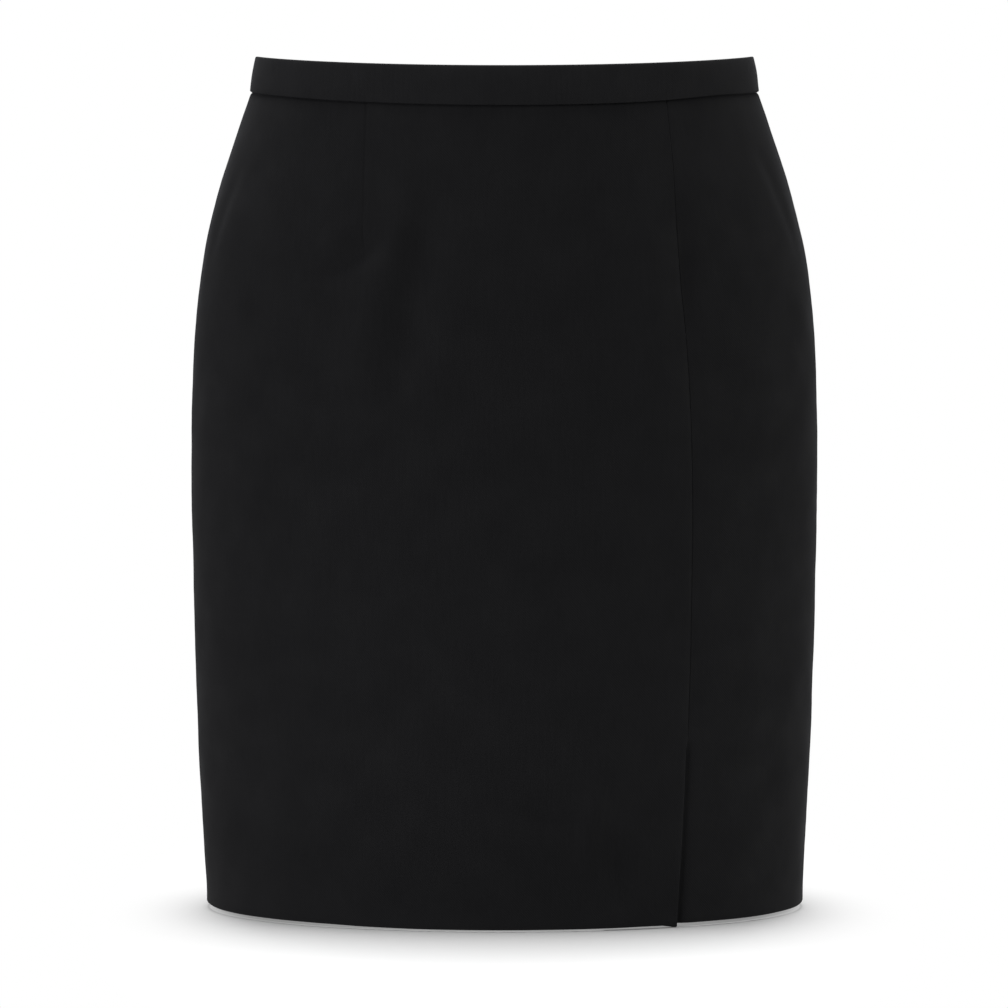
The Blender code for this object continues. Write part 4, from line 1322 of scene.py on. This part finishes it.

# White background paper, matt, with a painted shadow under the skirt, which is clear when it is seen from
# below.
paper, tree, shader = new_finish("white background paper")
place = add_node(tree, "ShaderNodeTexCoord").outputs["Object"]
# Painted shadow: the paper is painted grey inside the hem's outline, where the skirt shades the floor.
front_half, back_half = (
    add_node(tree, "ShaderNodeMapping", None,
             {"Vector": place, "Scale": (1 / at(HEM_DROP, "half_width") / MM, 1 / depth / MM, 0)})
    for depth in (-at(HEM_DROP, "front_depth"), at(HEM_DROP, "back_depth")))
footprint = add_node(tree, "ShaderNodeVectorMath", {"operation": "MAXIMUM"}, {0: front_half, 1: back_half})
share = add_node(tree, "ShaderNodeVectorMath", {"operation": "LENGTH"}, {0: footprint})
under = add_node(tree, "ShaderNodeMapRange", {"interpolation_type": "SMOOTHSTEP"},
                 {"Value": share.outputs["Value"], "From Min": PAINTED_SHADOW_START, "From Max": PAINTED_SHADOW_END})
shaded = add_node(tree, "ShaderNodeMix", {"data_type": "RGBA"},
                  {0: under, 6: linear("#949494"), 7: linear("#fdfdfd")})
set_inputs(tree, shader, {"Base Color": shaded.outputs[2], "Roughness": 0.9, "Specular IOR Level": 0.0})
# Painted glow: away from the skirt the paper glows white, which fades its shadow out, sooner at the sides.
flat_place = add_node(tree, "ShaderNodeMapping", None, {"Vector": place, "Scale": (FLOOR_NARROWER, 1, 0)})
reach = add_node(tree, "ShaderNodeVectorMath", {"operation": "LENGTH"}, {0: flat_place})
beyond = add_node(tree, "ShaderNodeMapRange", {"interpolation_type": "SMOOTHSTEP"},
                  {"Value": reach.outputs["Value"], "From Min": FLOOR_SHADED, "From Max": FLOOR_WHITE,
                   "To Min": FLOOR_GLOW})
glow = add_node(tree, "ShaderNodeEmission", None, {"Color": (1, 1, 1, 1), "Strength": 1.0})
seamless = add_node(tree, "ShaderNodeMixShader", None, {0: beyond, 1: shader, 2: glow})
ray = add_node(tree, "ShaderNodeLightPath").outputs["Is Camera Ray"]
facing = add_node(tree, "ShaderNodeNewGeometry")
from_below = add_node(tree, "ShaderNodeMath", {"operation": "MULTIPLY"},
                      {0: ray, 1: facing.outputs["Backfacing"]})
clear = add_node(tree, "ShaderNodeBsdfTransparent")
one_sided = add_node(tree, "ShaderNodeMixShader", None, {0: from_below, 1: seamless, 2: clear})
set_inputs(tree, tree.nodes["Material Output"], {"Surface": one_sided})
floor_mesh.materials.append(paper)

world = bpy.data.worlds.new("studio")
bpy.context.scene.world = world
world.use_nodes = True
tree = world.node_tree
ray = add_node(tree, "ShaderNodeLightPath").outputs["Is Camera Ray"]
fill = add_node(tree, "ShaderNodeBackground", None, {"Color": linear("#fefefe"), "Strength": 0.2})
white = add_node(tree, "ShaderNodeBackground", None, {"Color": (1, 1, 1, 1), "Strength": 1.0})
seen = add_node(tree, "ShaderNodeMixShader", None, {0: ray, 1: fill, 2: white})
set_inputs(tree, tree.nodes["World Output"], {"Surface": seen})

Softbox = namedtuple("Softbox", "name x y z width height power colour")
SOFTBOXES = (
    Softbox("top", 0.0, 0.25, 2.4, 1.2, 1.2, 101, "#ffffff"),
    Softbox("high front", 0.7, -2.2, 1.9, 0.8, 0.8, 13.5, "#ffffff"),
    Softbox("left front", -2.1, -1.75, 0.3, 0.8, 0.8, 34, "#fafaff"),
    Softbox("right", 2.7, 0.2, 0.15, 0.8, 0.8, 23.5, "#ffffff"),
    Softbox("left behind", -2.3, 1.4, 0.7, 1.0, 0.8, 10, "#fafaff"),
    Softbox("behind", 0.0, 2.6, 0.1, 1.2, 0.8, 20, "#ffffff"),
)
AIM = Vector((0, 0, -0.26))
flagged = bpy.data.collections.new("kept out of the side light")
flagged.objects.link(floor)
flagged.collection_objects[0].light_linking.link_state = "EXCLUDE"
for box in SOFTBOXES:
    lamp = bpy.data.lights.new(box.name, "AREA")
    lamp.shape = "RECTANGLE"
    lamp.size, lamp.size_y = box.width, box.height
    lamp.energy = box.power
    lamp.color = linear(box.colour)[:3]
    light = placed(box.name, lamp)
    light.location = (box.x, box.y, box.z)
    light.rotation_euler = (AIM - light.location).to_track_quat("-Z", "Y").to_euler()
    light.visible_camera = False
    if box.name != "top":
        light.light_linking.receiver_collection = flagged

CAMERA_PLACE = Vector((-0.0003, -3.0, -0.1034))
CAMERA_AIM = Vector((-0.0003, 0, -0.2559))
SENSOR = 36.0
LENS = 171.43
lens = bpy.data.cameras.new("camera")
lens.lens, lens.sensor_width = LENS, SENSOR
camera = placed("camera", lens)
camera.location = CAMERA_PLACE
camera.rotation_euler = (CAMERA_AIM - CAMERA_PLACE).to_track_quat("-Z", "Y").to_euler()
bpy.context.scene.camera = camera
bpy.context.scene.view_settings.view_transform = "Standard"
